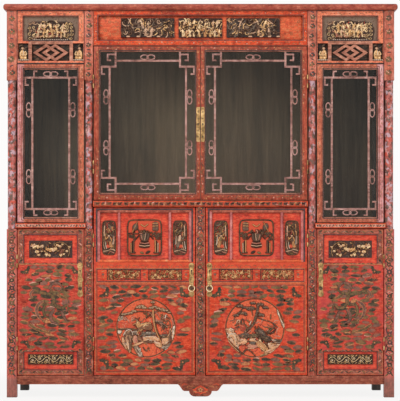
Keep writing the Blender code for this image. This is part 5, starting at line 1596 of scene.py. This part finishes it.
def sideFootCarving(word, side):
    # gilt scrolls pierced through to black
    work = Carving(0.2418, 0.0546, 0.001, dye(30, 16, 8))
    stem = np.stack([np.linspace(-0.115, 0.115, 60), 0.0125 * np.sin(np.linspace(0, 6 * math.pi, 60))],
                    axis=1)
    work.stroke(stem, 0.0034, 0.0034, 0.0052, "paleGold")
    for i, x in enumerate(np.linspace(-0.096, 0.096, 6)):
        hand = 1 if i % 2 else -1
        work.curl(x, 0.006 * hand, 0.0135, 0.5 * i, hand, 0.0034, 0.006, "paleGold")
        work.flower(x, 0.006 * hand, 0.005, 0.0062, "white", "deepGold")
        for lift in (-0.019, 0.019):
            work.leaf(x + 0.012, lift, 0.017, 0.0054, 0.5 * hand, 0.0055,
                      "gold" if lift > 0 else "deepGold")
            work.curl(x - 0.008, lift * 0.86, 0.0072, i, -hand, 0.0032, 0.0055, "gold")
    for z in (-0.0255, 0.0255):
        work.stroke([(-0.12, z), (0.12, z)], 0.0026, 0.0026, 0.005, "umber")
    for x in (-0.1195, 0.1195):
        work.stroke([(x, -0.026), (x, 0.026)], 0.0026, 0.0026, 0.005, "umber")
    letIn(work, f"side_{word}_foot_relief", "side", word, (side * sideMiddle, 0.2031))


def vaseCarving(word, side):
    # a small vase of flowers on a stepped stand among scholars' things
    work = Carving(0.179, 0.19, 0.0012, dye(216, 80, 48), 0.3, 8)
    hand = -side
    work.leaf(hand * -0.049, 0.056, 0.05, 0.032, 1.2, 0.008, "dark")
    work.leaf(hand * -0.05, 0.058, 0.04, 0.02, 1.3, 0.0095, "blueGrey")
    work.stroke([(hand * -0.064, 0.03), (hand * -0.038, 0.084)], 0.0046, 0.004, 0.0105, "ochre")
    work.stroke(smoothLine([(-0.018, 0.07), (0.0, 0.06), (0.018, 0.072)], 4), 0.0068, 0.005, 0.006, "ochre")
    work.patch([(hand * 0.044, 0.038), (hand * 0.047, 0.08), (hand * 0.07, 0.08), (hand * 0.072, 0.038)],
               0.0062, "umber")
    for lift in (0.046, 0.062, 0.076):
        work.stroke([(hand * 0.044, lift), (hand * 0.07, lift + 0.002)], 0.006, 0.006, 0.0085,
                    "ochre" if lift > 0.05 else "grey")
    work.stroke([(hand * 0.058, 0.04), (hand * 0.057, 0.08)], 0.005, 0.005, 0.0092, "umber")
    # the vase, striped on one side, with a spray over it
    work.patch([(-0.022, 0.022), (-0.025, 0.0), (-0.013, -0.018), (0.013, -0.018), (0.025, 0.0),
                (0.024, 0.022)], 0.0095, "dark")
    work.blob(hand * -0.01, 0.004, (0.0095, 0.015), 0.0112, "green")
    work.stroke([(hand * -0.018, 0.014), (hand * -0.012, -0.01)], 0.0062, 0.005, 0.0124, "pink")
    for k in range(3):
        foot = (hand * (0.001 + 0.008 * k), -0.012 + 0.004 * k)
        head = (hand * (0.006 + 0.008 * k), 0.022)
        work.stroke([foot, head], 0.0056, 0.0046, 0.0122, ("cream", "black", "blueGrey")[k])
    tangleOn(work, (-0.034, 0.02), (0.038, 0.036), 22, 0.02, 0.0056,
             ["black", "dark", "green", "pink", "brown"], 33 + side, 0.0, 0.0112)
    for lift, half, name in (
            (-0.023, 0.018, "black"), (-0.03, 0.023, "pink"), (-0.037, 0.024, "black"),
            (-0.044, 0.027, "cream"), (-0.051, 0.025, "black")):
        work.stroke([(-half, lift + 0.003), (0.0, lift - 0.001), (half, lift + 0.003)], 0.0058, 0.0058,
                    0.0078, name)
    for end in (-1, 1):
        tangleOn(work, (end * 0.066 - 0.015, -0.01), (end * 0.066 + 0.015, 0.026), 14, 0.021, 0.0058,
                 ["black", "green", "dark", "umber"], 35 + end + side, 0.0, 0.0085)
        work.stroke([(end * 0.057, -0.016), (end * 0.059, -0.076)], 0.0075, 0.0065, 0.008,
                    "ochre" if end == hand else "umber")
        work.stroke([(end * 0.064, -0.02), (end * 0.066, -0.08)], 0.0062, 0.0052, 0.0085, "black")
        work.stroke([(end * 0.072, -0.03), (end * 0.071, -0.08)], 0.0068, 0.0056, 0.0078,
                    "cream" if end == hand else "ochre")
        work.stroke([(end * 0.05, -0.079), (end * 0.078, -0.08)], 0.0058, 0.005, 0.009, "dark")
        work.stroke([(end * 0.046, -0.006), (end * 0.03, 0.012)], 0.0068, 0.005, 0.0075, "black")
    work.leaf(hand * 0.018, -0.077, 0.032, 0.014, 0.5, 0.0065, "black")
    work.leaf(hand * -0.014, -0.08, 0.026, 0.011, -0.3, 0.006, "olive")
    spot = (side * vaseMiddle[0], vaseMiddle[1])
    letIn(work, f"centre_{word}_vase_relief", "centre", word, spot, rim=0.0066)


def rimOn(name, work, middle, thick, body, finish):
    # a rounded rim along the edge of a carving
    grid = np.arange(work.x.size).reshape(work.up + 1, work.across + 1)
    loop = np.concatenate([grid[0, :-1], grid[:-1, -1], grid[-1, :0:-1], grid[:0:-1, 0]])[::2]
    line = bpy.data.curves.new(name, "CURVE")
    line.dimensions = "3D"
    line.bevel_depth = thick / 2
    line.bevel_resolution = 2
    path = line.splines.new("POLY")
    path.points.add(len(loop) - 1)
    for point, i in zip(path.points, loop):
        point.co = (middle[0] + work.x[i], sunkFront - thick * 0.3, middle[1] + work.z[i], 1.0)
    path.use_cyclic_u = True
    obj = bpy.data.objects.new(name, line)
    bpy.context.scene.collection.objects.link(obj)
    pick(obj)
    bpy.ops.object.convert(target="MESH")
    obj = bpy.context.object
    bpy.ops.object.shade_smooth()
    settle(obj, body, "painted_door", finish)


def slimCarving(word, side, near, seed):
    # a tall narrow panel: a figure and rocks among boughs
    work = Carving(0.069, 0.179, 0.0011, dye(112, 56, 40), 0.4, 6)
    rng = np.random.RandomState(seed)
    flip = -1 if seed % 2 else 1
    tangleOn(work, (-0.03, -0.08), (0.03, 0.08), 62, 0.026, 0.006,
             ["brown", "umber", "olive", "dark", "red", "black"], seed, 0.0, 0.0058, 1.2)
    tangleOn(work, (-0.024, 0.012), (0.024, 0.074), 17, 0.024, 0.0056,
             ["olive", "dark", "ochre", "grey", "umber"], seed + 7, 0.001, 0.0072, 0.9 * flip)
    figureOn(work, flip * -0.007, -0.046, 0.066, rng.choice(["grey", "olive", "ochre"]),
             rng.choice(["dark", "olive", "cream"]), flip * 0.12, 0.001, 0.0078)
    rocksOn(work, [(flip * -0.022, -0.012, 0.026, 0.0072, 1.5), (flip * 0.021, -0.04, 0.026, 0.0085, 1.7)],
            ["cream", "white", "umber"], seed, 0.0, 0.0088)
    rocksOn(work, [(-0.012, -0.068, 0.022, 0.0115, 0.25), (0.017, -0.07, 0.02, 0.0105, 2.8)],
            ["umber", "cream", "dark", "pink"], seed + 1, 0.0, 0.0082)
    work.blob(flip * 0.006, -0.046, (0.0125, 0.0105), 0.0092, "orange")
    work.stroke([(flip * 0.024, 0.062), (flip * 0.026, 0.01)], 0.007, 0.006, 0.008, "cream")
    spot = (side * near, vaseMiddle[1])
    letIn(work, f"centre_{word}_slim_relief_{seed}", "centre", word, spot, rim=0.0058)


def bandCarving(word, side, near, seed):
    # gilt flowers and scrolls crowded in a long low panel
    work = Carving(0.1795, 0.0576, 0.0011, dye(182, 66, 40))
    tangleOn(work, (-0.086, -0.026), (0.086, 0.026), 105, 0.021, 0.0038,
             ["gold", "ochre", "olive", "brown", "orange", "orange"], seed, 0.0, 0.0056)
    curlsOn(work, (-0.08, -0.022), (0.08, 0.022), 0.026, 0.0085, ["gold", "ochre", "olive"], seed + 3,
            0.0005, 0.0062)
    for x, z, radius in ((0.03, 0.008, 0.0095), (-0.052, -0.004, 0.0088), (-0.004, -0.01, 0.0072),
                         (0.07, -0.008, 0.0075)):
        work.flower((-1) ** seed * x, z, radius, 0.0078, "gold", "deepGold")
    spot = (side * near, bandHeight)
    letIn(work, f"centre_{word}_band_relief_{seed}", "centre", word, spot, rim=0.004, rimPaint="slate")


# Drawings in millimetres from the disc's middle
# shapes: outline, height, paint and edge paint
# lines: knots, width, height and paint
# pads: middle and half width


deerDrawing = dict(shapes=[
    ([(-147, 30), (-65, 28), (-58, 1), (-147, -1)], 1.5, "orange", "red"),
    ([(-149, 55), (-138, 62), (-123, 59), (-123, 47), (-138, 39), (-147, 36)], 3.5, "grey", "white"),
    ([(-123, 57), (-111, 60), (-102, 51), (-105, 41), (-119, 42)], 4.5, "pink", "umber"),
    ([(-150, -3), (-104, -2), (-54, -5), (-54, -11), (-104, -10), (-147, -13)], 5, "dark", "olive"),
    ([(-151, -10), (-134, -7), (-128, -22), (-138, -33), (-152, -28)], 4.5, "white", "green"),
    ([(-117, -39), (-105, -22), (-90, -16), (-76, -29), (-71, -56), (-77, -102), (-86, -131), (-102, -110),
      (-115, -75)], 6, "umber", "dark"),
    ([(-107, -64), (-98, -58), (-90, -71), (-88, -102), (-93, -123), (-102, -98)], 7, "sand", "umber"),
    ([(-131, -52), (-119, -49), (-113, -83), (-102, -113), (-111, -110), (-126, -83)], 5, "sand", "brown"),
    ([(-70, -45), (-50, -41), (-44, -64), (-48, -83), (-65, -83), (-71, -64)], 6.6, "pink", "sand"),
    ([(-48, -45), (-35, -43), (-19, -60), (-18, -73), (-35, -71), (-46, -64)], 6.4, "brown", "dark"),
    ([(-71, -92), (-54, -83), (-18, -70), (-12, -76), (-35, -91), (-58, -98)], 7.4, "sand", "umber"),
    ([(-67, -100), (-48, -92), (-33, -110), (-18, -148), (-23, -157), (-39, -150), (-58, -125)], 7, "grey",
     "umber"),
    ([(-18, -52), (11, -45), (49, -45), (66, -56), (70, -70), (49, -71), (19, -67), (-12, -70)], 6.4,
     "sand", "pink"),
    ([(-19, -74), (19, -71), (49, -76), (53, -83), (19, -80), (-16, -83)], 5, "brown", "dark"),
    ([(49, -73), (72, -75), (86, -100), (68, -104), (49, -92)], 6.2, "sand", "pink"),
    ([(75, -36), (113, -34), (115, -42), (78, -45)], 5.5, "blueGrey", "dark"),
    ([(84, -49), (114, -47), (115, -53), (86, -54)], 5.5, "green", "olive"),
    ([(83, -56), (119, -55), (117, -79), (103, -91), (87, -87)], 6.2, "sand", "pink"),
    ([(143, 9), (156, 13), (154, -18), (147, -52), (140, -68), (136, -45), (139, -14)], 5.5, "white",
     "umber"),
    ([(126, -10), (136, -3), (134, -41), (131, -71), (124, -83), (120, -56)], 5.2, "umber", "dark"),
    ([(84, -91), (103, -92), (126, -79), (135, -83), (126, -110), (103, -119), (87, -110)], 5.6, "grey",
     "dark"),
    ([(-73, -16), (-48, -12), (-42, -33), (-65, -37)], 5.5, "grey", "dark"),
    ([(-29, -24), (11, -18), (49, -24), (53, -39), (11, -41), (-25, -42)], 6, "blueGrey", "dark"),
    ([(-48, 7), (-33, 16), (-12, 26), (11, 30), (28, 22), (34, 7), (29, -10), (11, -12), (-12, -10),
      (-31, -14), (-44, -10)], 9, "brown", "dark"),
    ([(-46, 8), (-31, 17), (-12, 25), (11, 29), (23, 26), (7, 18), (-12, 13), (-29, 3), (-42, -2)], 10,
     "ochre", "ochre"),
    ([(-56, 16), (-54, 30), (-46, 37), (-35, 34), (-29, 22), (-35, 11), (-48, 5)], 10, "ochre", "brown"),
    ([(-61, 23), (-51, 31), (-48, 24), (-56, 17)], 10.5, "sand", "brown"),
], lines=[
    ([(-120, -39), (-109, -20), (-92, -10), (-77, -18), (-70, -39)], 6, 7.6, "white"),
    ([(-102, -64), (-95, -87), (-91, -117)], 5, 8, "white"),
    ([(-83, -26), (-75, -56), (-80, -94)], 6, 7.2, "black"),
    ([(-48, -104), (-33, -131), (-29, -152)], 6, 8, "white"),
    ([(-58, -113), (-42, -140)], 5, 7.8, "sand"),
    ([(-16, -50), (19, -45), (53, -45)], 5, 7.4, "white"),
    ([(-8, -60), (19, -57), (49, -61)], 5, 7.2, "brown"),
    ([(-40, -12), (-44, -28), (-39, -41)], 7, 9, "ochre"),
    ([(-27, -12), (-24, -28), (-28, -39)], 7, 9, "brown"),
    ([(24, -8), (32, -20), (28, -33)], 7, 9, "brown"),
    ([(-46, 36), (-51, 47), (-58, 53)], 4.5, 9.5, "umber"),
    ([(-42, 37), (-41, 49), (-34, 55)], 4.5, 9.5, "umber"),
    ([(-19, 4), (-8, 7)], 5, 10.4, "sand"),
    ([(0, 13), (13, 16)], 5, 10.4, "paleGold"),
    ([(3, -2), (21, 1)], 5, 10.4, "dark"),
    ([(-29, -6), (-12, -3)], 5, 10.2, "dark"),
    ([(-71, -22), (-48, -19)], 5, 6.5, "white"),
    ([(-69, -30), (-46, -28)], 5, 6.5, "dark"),
    ([(-27, -29), (0, -23)], 5, 7, "black"),
    ([(3, -26), (34, -28)], 5, 7, "white"),
    ([(-19, -36), (19, -34)], 5, 7, "grey"),
    ([(26, -37), (51, -34)], 5, 7, "black"),
    ([(-130, 67), (-104, 70), (-81, 77), (-58, 87), (-27, 88), (3, 87), (34, 81)], 6, 7, "dark"),
    ([(38, 81), (65, 89), (95, 87), (128, 78)], 5, 7, "umber"),
    ([(0, 86), (5, 70), (0, 55)], 6, 6.5, "olive"),
    ([(28, 81), (17, 66), (3, 51)], 6, 6.5, "dark"),
    ([(-12, 78), (7, 66)], 6, 6.2, "green"),
    ([(23, 58), (34, 70)], 5, 6.5, "olive"),
    ([(11, 81), (26, 76), (34, 62)], 6, 6, "pink"),
    ([(49, 85), (65, 70), (72, 55)], 6, 6, "pink"),
    ([(38, 92), (38, 81), (40, 51), (45, 16), (52, -14), (65, -45), (77, -73), (84, -100)], 11, 8.5,
     "ochre"),
    ([(38, 144), (37, 112), (38, 90)], 6, 7.5, "olive"),
    ([(43, 81), (46, 47), (52, 16), (58, -10), (71, -41), (84, -71)], 5, 8.9, "umber"),
    ([(36, 78), (39, 43), (45, 9)], 4.5, 9.2, "sand"),
    ([(102, 53), (107, 70)], 8, 6.5, "white"),
    ([(113, 63), (117, 52)], 9, 6, "dark"),
    ([(80, 70), (89, 58)], 7, 6, "olive"),
    ([(49, 37), (72, 32), (93, 20), (115, 3)], 10, 6.5, "grey"),
    ([(53, 31), (84, 16), (110, -1)], 5, 6.9, "dark"),
    ([(57, 41), (87, 34)], 5, 6.9, "pink"),
    ([(-16, -104), (-2, -121), (11, -110)], 6, 4.5, "dark"),
    ([(3, -125), (13, -104), (19, -121)], 6, 4.5, "brown"),
    ([(137, 47), (145, 28), (143, 13)], 7, 5, "pink"),
    ([(126, 32), (131, 13), (126, 1)], 6, 5, "umber"),
], pads=[
    (-42, 108, 15), (-27, 113, 19), (-10, 106, 15), (-84, 78, 14), (-65, 87, 15), (-120, 71, 14),
    (-102, 74, 12), (26, 105, 14), (45, 110, 14), (36, 136, 11), (65, 102, 14), (84, 97, 16), (104, 91, 15),
    (123, 81, 9),
])
oxDrawing = dict(shapes=[
    ([(-156, -3), (-137, -2), (-116, -10), (-110, -33), (-133, -35), (-152, -22)], 4, "sand", "brown"),
    ([(-149, -41), (-121, -29), (-97, -37), (-83, -64), (-85, -98), (-102, -102), (-125, -83), (-144, -64)],
     4.5, "sand", "brown"),
    ([(-87, -83), (-79, -64), (-60, -55), (-45, -61), (-40, -76), (-53, -87), (-72, -89)], 6.8, "sand",
     "dark"),
    ([(-33, -70), (-27, -58), (-11, -54), (5, -64), (4, -72), (-15, -74)], 7.2, "sand", "brown"),
    ([(-31, -81), (-15, -72), (6, -74), (1, -85), (-16, -90)], 6.8, "blueGrey", "dark"),
    ([(5, -71), (28, -68), (50, -87), (70, -110), (58, -125), (35, -113), (12, -98)], 6.6, "ochre", "sand"),
    ([(66, -87), (85, -77), (104, -87), (142, -83), (127, -102), (100, -113), (77, -113)], 6.4, "sand",
     "brown"),
    ([(89, -64), (112, -61), (142, -66), (134, -79), (104, -78)], 6.6, "dark", "white"),
    ([(50, -125), (77, -113), (112, -104), (104, -121), (73, -136), (54, -138)], 5.6, "sand", "ochre"),
    ([(28, -148), (47, -138), (66, -140), (62, -154), (39, -159)], 5.6, "olive", "sand"),
    ([(-89, -100), (-70, -92), (-51, -104), (-68, -133)], 3, "orange", "dark"),
    ([(-41, -87), (5, -89), (12, -104), (-18, -113), (-37, -106)], 4, "pink", "brown"),
    ([(-84, -49), (-76, -33), (-53, -28), (-36, -35), (-37, -52), (-64, -54)], 6.8, "dark", "blueGrey"),
    ([(-38, -45), (-18, -33), (8, -31), (14, -45), (-7, -53), (-30, -53)], 6.8, "green", "dark"),
    ([(117, 104), (127, 89), (138, 55), (157, 13), (153, -2), (142, 20), (129, 55), (119, 81)], 4.5,
     "white", "olive"),
    ([(-85, 13), (-64, 20), (-41, 13), (-45, -14), (-72, -18)], 2.4, "red", "brown"),
    ([(1, -18), (8, -5), (28, -3), (47, -14), (66, -41), (89, -52), (89, -68), (66, -74), (47, -68),
      (29, -49), (10, -35)], 9.5, "black", "dark"),
    ([(12, -12), (28, -7), (45, -22), (54, -43), (41, -39), (24, -24)], 10.2, "blueGrey", "dark"),
], lines=[
    ([(-145, -52), (-137, -36), (-120, -33), (-108, -49), (-102, -71)], 7, 6.8, "white"),
    ([(-137, -58), (-127, -49), (-116, -64), (-112, -83)], 5.5, 6.6, "brown"),
    ([(-108, -33), (-89, -45), (-83, -71), (-89, -98)], 6, 6.6, "cream"),
    ([(-100, -43), (-94, -64), (-97, -91)], 5.5, 6.6, "dark"),
    ([(-142, -70), (-125, -91), (-102, -113), (-87, -127)], 6, 6, "sand"),
    ([(-137, -64), (-118, -87), (-97, -107)], 5, 6.2, "brown"),
    ([(-137, -10), (-121, -18)], 7, 6, "white"),
    ([(-150, -10), (-142, -28)], 5, 5.6, "brown"),
    ([(-79, -64), (-64, -64), (-53, -71)], 5, 7.6, "white"),
    ([(-74, -83), (-57, -79)], 5, 7.6, "orange"),
    ([(-26, -62), (-7, -61)], 5, 8, "white"),
    ([(-11, -70), (3, -68)], 5, 8, "brown"),
    ([(16, -79), (35, -94), (54, -117)], 6, 7.6, "sand"),
    ([(24, -73), (47, -91), (62, -108)], 5, 7.6, "brown"),
    ([(10, -87), (28, -106)], 5, 7.4, "orange"),
    ([(73, -87), (85, -102)], 6, 7.4, "white"),
    ([(85, -83), (96, -100)], 5, 7.4, "olive"),
    ([(104, -94), (134, -87)], 5, 7.2, "white"),
    ([(70, -102), (89, -112)], 5, 7.4, "brown"),
    ([(89, -62), (104, -68), (115, -64)], 6, 7.6, "white"),
    ([(54, -71), (64, -92), (76, -110)], 7, 8.6, "dark"),
    ([(35, -52), (41, -68), (35, -79)], 7, 8.8, "black"),
    ([(20, -37), (12, -49)], 7, 8.8, "dark"),
    ([(8, -7), (1, 1), (4, 9)], 5, 10, "dark"),
    ([(17, 127), (15, 104), (11, 81), (5, 55), (-2, 32), (-16, 11), (-36, -8), (-53, -28)], 15, 8.5,
     "dark"),
    ([(12, 97), (7, 70), (0, 47)], 6, 9.6, "blueGrey"),
    ([(1, 55), (-8, 28), (-24, 9)], 6, 9.4, "green"),
    ([(-11, 13), (-28, -6)], 5.5, 9.4, "grey"),
    ([(14, 120), (12, 100)], 5, 9.4, "grey"),
    ([(-83, 115), (-49, 106), (-18, 100), (12, 99)], 6, 7, "dark"),
    ([(18, 127), (43, 118), (71, 100)], 6, 7, "dark"),
    ([(-64, 108), (-76, 91), (-110, 60)], 6, 7, "dark"),
    ([(-78, 89), (-60, 81), (-45, 66)], 6, 7, "dark"),
    ([(12, 93), (28, 76), (50, 62)], 6, 7, "dark"),
    ([(-26, 99), (-16, 85), (-11, 66)], 5, 6.5, "umber"),
    ([(12, 55), (50, 42), (85, 31), (106, 16), (121, 4)], 5, 6, "umber"),
    ([(96, 24), (108, 13), (119, 6)], 8, 6.5, "dark"),
    ([(85, 70), (83, 47)], 6, 6, "olive"),
    ([(-97, 28), (-92, 40), (-81, 39), (-85, 26)], 7, 5.5, "cream"),
    ([(-74, 22), (-70, 45), (-60, 43), (-58, 22)], 6, 6, "dark"),
    ([(-41, 39), (-26, 28)], 7, 5.5, "olive"),
    ([(-28, 18), (-20, 36)], 7, 6, "white"),
    ([(-106, 13), (-89, 20)], 6, 5, "umber"),
    ([(-102, 1), (-83, 9)], 6, 5, "dark"),
    ([(-53, 20), (-45, 1), (-53, -18)], 6, 5, "green"),
    ([(68, -31), (85, -10), (104, 1)], 9, 6.5, "dark"),
    ([(70, -18), (89, -3)], 8, 7, "green"),
    ([(81, -33), (100, -18), (112, -6)], 8, 7.2, "black"),
    ([(73, -3), (85, 1)], 7, 7.4, "olive"),
    ([(89, -28), (104, -24)], 7, 7, "dark"),
    ([(-97, -108), (-81, -125), (-68, -141), (-47, -117), (-26, -122), (1, -148)], 8.5, 6, "dark"),
    ([(-91, -92), (-64, -86), (-44, -95)], 6, 6, "dark"),
    ([(-76, -148), (-41, -161), (1, -161), (24, -152)], 5, 3.5, "pink"),
    ([(58, -131), (85, -123), (108, -110)], 5, 6.8, "brown"),
    ([(35, -152), (58, -145)], 6, 6.8, "dark"),
    ([(81, -133), (100, -121)], 5, 6.8, "white"),
], pads=[
    (-11, 131, 15), (29, 123, 18), (56, 107, 16), (-81, 115, 18), (-53, 108, 11), (-24, 102, 23),
    (-100, 66, 15), (-83, 78, 10), (-60, 77, 15), (33, 67, 17), (-49, 69, 8),
])


def padOn(work, x, z, half, needles, top, under, base, rise):
    # a cushion of needles, lit above and dark below
    edge = [(-1, -0.1), (-0.6, 0.52), (-0.2, 0.4), (0.1, 0.7), (0.5, 0.45), (0.85, 0.44), (1, -0.05),
            (0.5, -0.4), (0, -0.24), (-0.5, -0.42)]
    work.patch([(x + u * half, z + v * half) for u, v in edge], rise, needles, base, under, 0.003, 0.0016)
    for shift, width in ((-0.45, 0.3), (0.1, 0.36), (0.6, 0.24)):
        line = [(x + (shift - width) * half, z + 0.1 * half), (x + shift * half, z + 0.32 * half),
                (x + (shift + width) * half, z + 0.12 * half)]
        work.stroke(smoothLine(line, 4), 0.0046, 0.0034, rise * 1.12, top, base)
    work.stroke([(x - 0.85 * half, z - 0.18 * half), (x, z - 0.2 * half),
                 (x + 0.85 * half, z - 0.12 * half)], 0.0036, 0.0028, rise * 1.08, under, base)
    for i in range(7):
        u, turn = x + (i - 3) * 0.3 * half, 1.1 * math.sin(5.0 * i + 90 * x)
        run = (0.28 * half * math.cos(turn), 0.28 * half * math.sin(turn))
        work.stroke([(u - run[0], z - run[1]), (u + run[0], z + run[1])], 0.0042, 0.0028, rise * 1.15,
                    (needles, under, top)[i % 3], base)


grains = dict(
    pink=["sand", "brown", "red"], umber=["dark", "sand", "brown", "olive"],
    ochre=["brown", "paleGold", "umber", "gold"], grey=["white", "dark", "umber"],
    dark=["black", "blueGrey", "green"],
    blueGrey=["black", "dark", "grey"], white=["grey", "olive", "sand"], olive=["dark", "ochre"],
    black=["dark", "blueGrey", "green"],
    sand=["white", "brown", "pink", "ochre", "umber"], brown=["dark", "ochre", "umber"],
    green=["dark", "olive", "black"],
    orange=["orange", "red"], red=["brown", "orange"],
)


def grainOn(work, knots, rise, names, rng):
    # strokes along a drawn shape, crossing its edge here and there
    spots = np.array(knots)
    away = spots - spots.mean(axis=0)
    twist = 2 * (away[:, 0] * away[:, 1]).sum()
    turn = 0.5 * math.atan2(twist, (away[:, 0] ** 2 - away[:, 1] ** 2).sum())
    nextAway = np.roll(away, 1, axis=0)
    area = abs((away[:, 0] * nextAway[:, 1] - away[:, 1] * nextAway[:, 0]).sum()) / 2
    for _ in range(max(2, int(area / 0.00012))):
        x, z = rng.dirichlet(np.ones(3)) @ spots[rng.choice(len(spots), 3)]
        lean, half = turn + rng.uniform(-0.5, 0.5), rng.uniform(0.005, 0.012)
        cos, sin = half * math.cos(lean), half * math.sin(lean)
        work.stroke([(x - cos, z - sin), (x + cos, z + sin)], 0.0062, 0.0044, rise + 0.0012 * rng.rand(),
                    rng.choice(names))


def drawOn(work, drawing, needles, top, under):
    # one drawing: its shapes, the cushions of the pine, then its lines
    rng = np.random.RandomState(len(drawing["lines"]))
    for knots, rise, paint, edge in drawing["shapes"]:
        knots = [(u / 1000, v / 1000) for u, v in knots]
        work.patch(knots, rise / 1000, paint, 0.0, edge)
        grainOn(work, knots, rise / 1000, grains[paint], rng)
    for u, v, half in drawing["pads"]:
        padOn(work, u / 1000, v / 1000, half / 1000, needles, top, under, 0.0, 0.0072)
    for knots, wide, rise, paint in drawing["lines"]:
        line = smoothLine([(u / 1000, v / 1000) for u, v in knots], 5)
        work.stroke(line, wide / 1000, wide * 0.0007, rise / 1000, paint)


def medallion(word, side):
    # an animal under a pine among pale rocks
    work = Carving(0.3184, 0.3184, 0.0013, dye(236, 100, 60), 1.0)
    ring = [(0.1545 * math.cos(t), 0.1545 * math.sin(t)) for t in np.linspace(0, 2 * math.pi, 90)]
    work.stroke(ring, 0.005, 0.005, 0.0022, "dark")
    tangleOn(work, (-0.12, -0.12), (0.13, 0.05), 84, 0.028, 0.0066,
             ["red", "brown", "red", "pink", "umber"], 50 + side, 0.0, 0.0026)
    if side < 0:
        drawOn(work, deerDrawing, "olive", "cream", "dark")
        tangleOn(work, (0.06, 0.0), (0.125, 0.07), 20, 0.02, 0.0056,
                 ["umber", "grey", "dark", "brown", "pink"], 83, 0.0, 0.0058)
    else:
        drawOn(work, oxDrawing, "dark", "grey", "black")
        tangleOn(work, (0.016, -0.06), (0.07, -0.01), 12, 0.02, 0.006,
                 ["black", "blueGrey", "green", "grey"], 81, 0.0, 0.0106, -0.8)
    spot = (side * discMiddle[0], discMiddle[1])
    letIn(work, f"medallion_{word}_relief", "centre", word, spot, discPaint, 0.0036, "ochre")


friezeCarvings()
for word, side in sides.items():
    transomCarving(word, side)
    nicheFigure(word, side, 0.6533, 0.1)
    nicheFigure(word, side, 0.9467, -0.08)
    sideTopCarving(word, side)
    sideFootCarving(word, side)
    vaseCarving(word, side)
    slimCarving(word, side, 0.1094, 81 + side)
    slimCarving(word, side, 0.4885, 84 + side)
    bandCarving(word, side, 0.1889, 91 + side)
    bandCarving(word, side, 0.4089, 94 + side)
    medallion(word, side)
print("carvings cut")


# Floor, white surroundings and soft light

stageSet = dict(floor=40.0, pale=tone(253, 252, 251), key=170.0, fill=63.0, sky=0.45)


seenRays = ("Camera", "Glossy", "Transmission")


def whiteToRays(paint):
    # 1 for what the camera sees straight, in gloss or through glass
    rays = [paint.add("ShaderNodeLightPath", {}, {}, f"Is {name} Ray") for name in seenRays]
    return paint.step(rays[0] + rays[1] + rays[2], 0.0, 1.0)


def setStage():
    letGo()
    bpy.ops.mesh.primitive_plane_add(size=stageSet["floor"])
    floor = bpy.context.object
    floor.name = "studioFloor"
    paint = Paint("studioFloor",
                  {"Base Color": tone(238, 237, 235), "Roughness": 0.9, "Specular IOR Level": 0.0})
    glow = paint.add("ShaderNodeEmission", {}, {"Color": stageSet["pale"], "Strength": 1.0})
    away = paint.add("ShaderNodeVectorMath", {"operation": "LENGTH"}, {0: paint.spot}, "Value")
    share = whiteToRays(paint) * (0.9 + 0.1 * paint.step(away, 1.2, 2.4))
    shown = paint.add("ShaderNodeMixShader", {},
                      {0: share, 1: Wire(paint, paint.shader.outputs[0]), 2: glow})
    paint.tree.links.new(shown.socket, paint.tree.nodes["Material Output"].inputs["Surface"])
    floor.data.materials.append(paint.material)

    world = bpy.data.worlds.new("studioWorld")
    world.use_nodes = True
    bpy.context.scene.world = world
    tree = world.node_tree
    tree.nodes.clear()
    path = tree.nodes.new("ShaderNodeLightPath")
    out = tree.nodes.new("ShaderNodeOutputWorld")
    soft = tree.nodes.new("ShaderNodeBackground")
    soft.inputs["Color"].default_value = (1.0, 1.0, 1.0, 1.0)
    soft.inputs["Strength"].default_value = stageSet["sky"]
    white = tree.nodes.new("ShaderNodeBackground")
    white.inputs["Color"].default_value = stageSet["pale"]
    shown = None
    for name in seenRays:
        either = tree.nodes.new("ShaderNodeMixShader")
        tree.links.new(path.outputs[f"Is {name} Ray"], either.inputs[0])
        tree.links.new((shown or soft).outputs[0], either.inputs[1])
        tree.links.new(white.outputs[0], either.inputs[2])
        shown = either
    tree.links.new(shown.outputs[0], out.inputs["Surface"])

    for name, power, size, spot in (
        ("keyLight", stageSet["key"], 3.2, (-2.4, -4.6, 4.5)),
        ("fillLight", stageSet["fill"], 3.6, (3.4, -4.4, 2.4)),
    ):
        lamp = bpy.data.lights.new(name, "AREA")
        lamp.energy = power
        lamp.size = size
        obj = bpy.data.objects.new(name, lamp)
        obj.location = spot
        obj.rotation_euler = (Vector((0, 0, 1.1)) - Vector(spot)).to_track_quat("-Z", "Y").to_euler()
        bpy.context.scene.collection.objects.link(obj)
    bpy.context.scene.view_settings.view_transform = "Standard"


setStage()
print("floor and lights set")
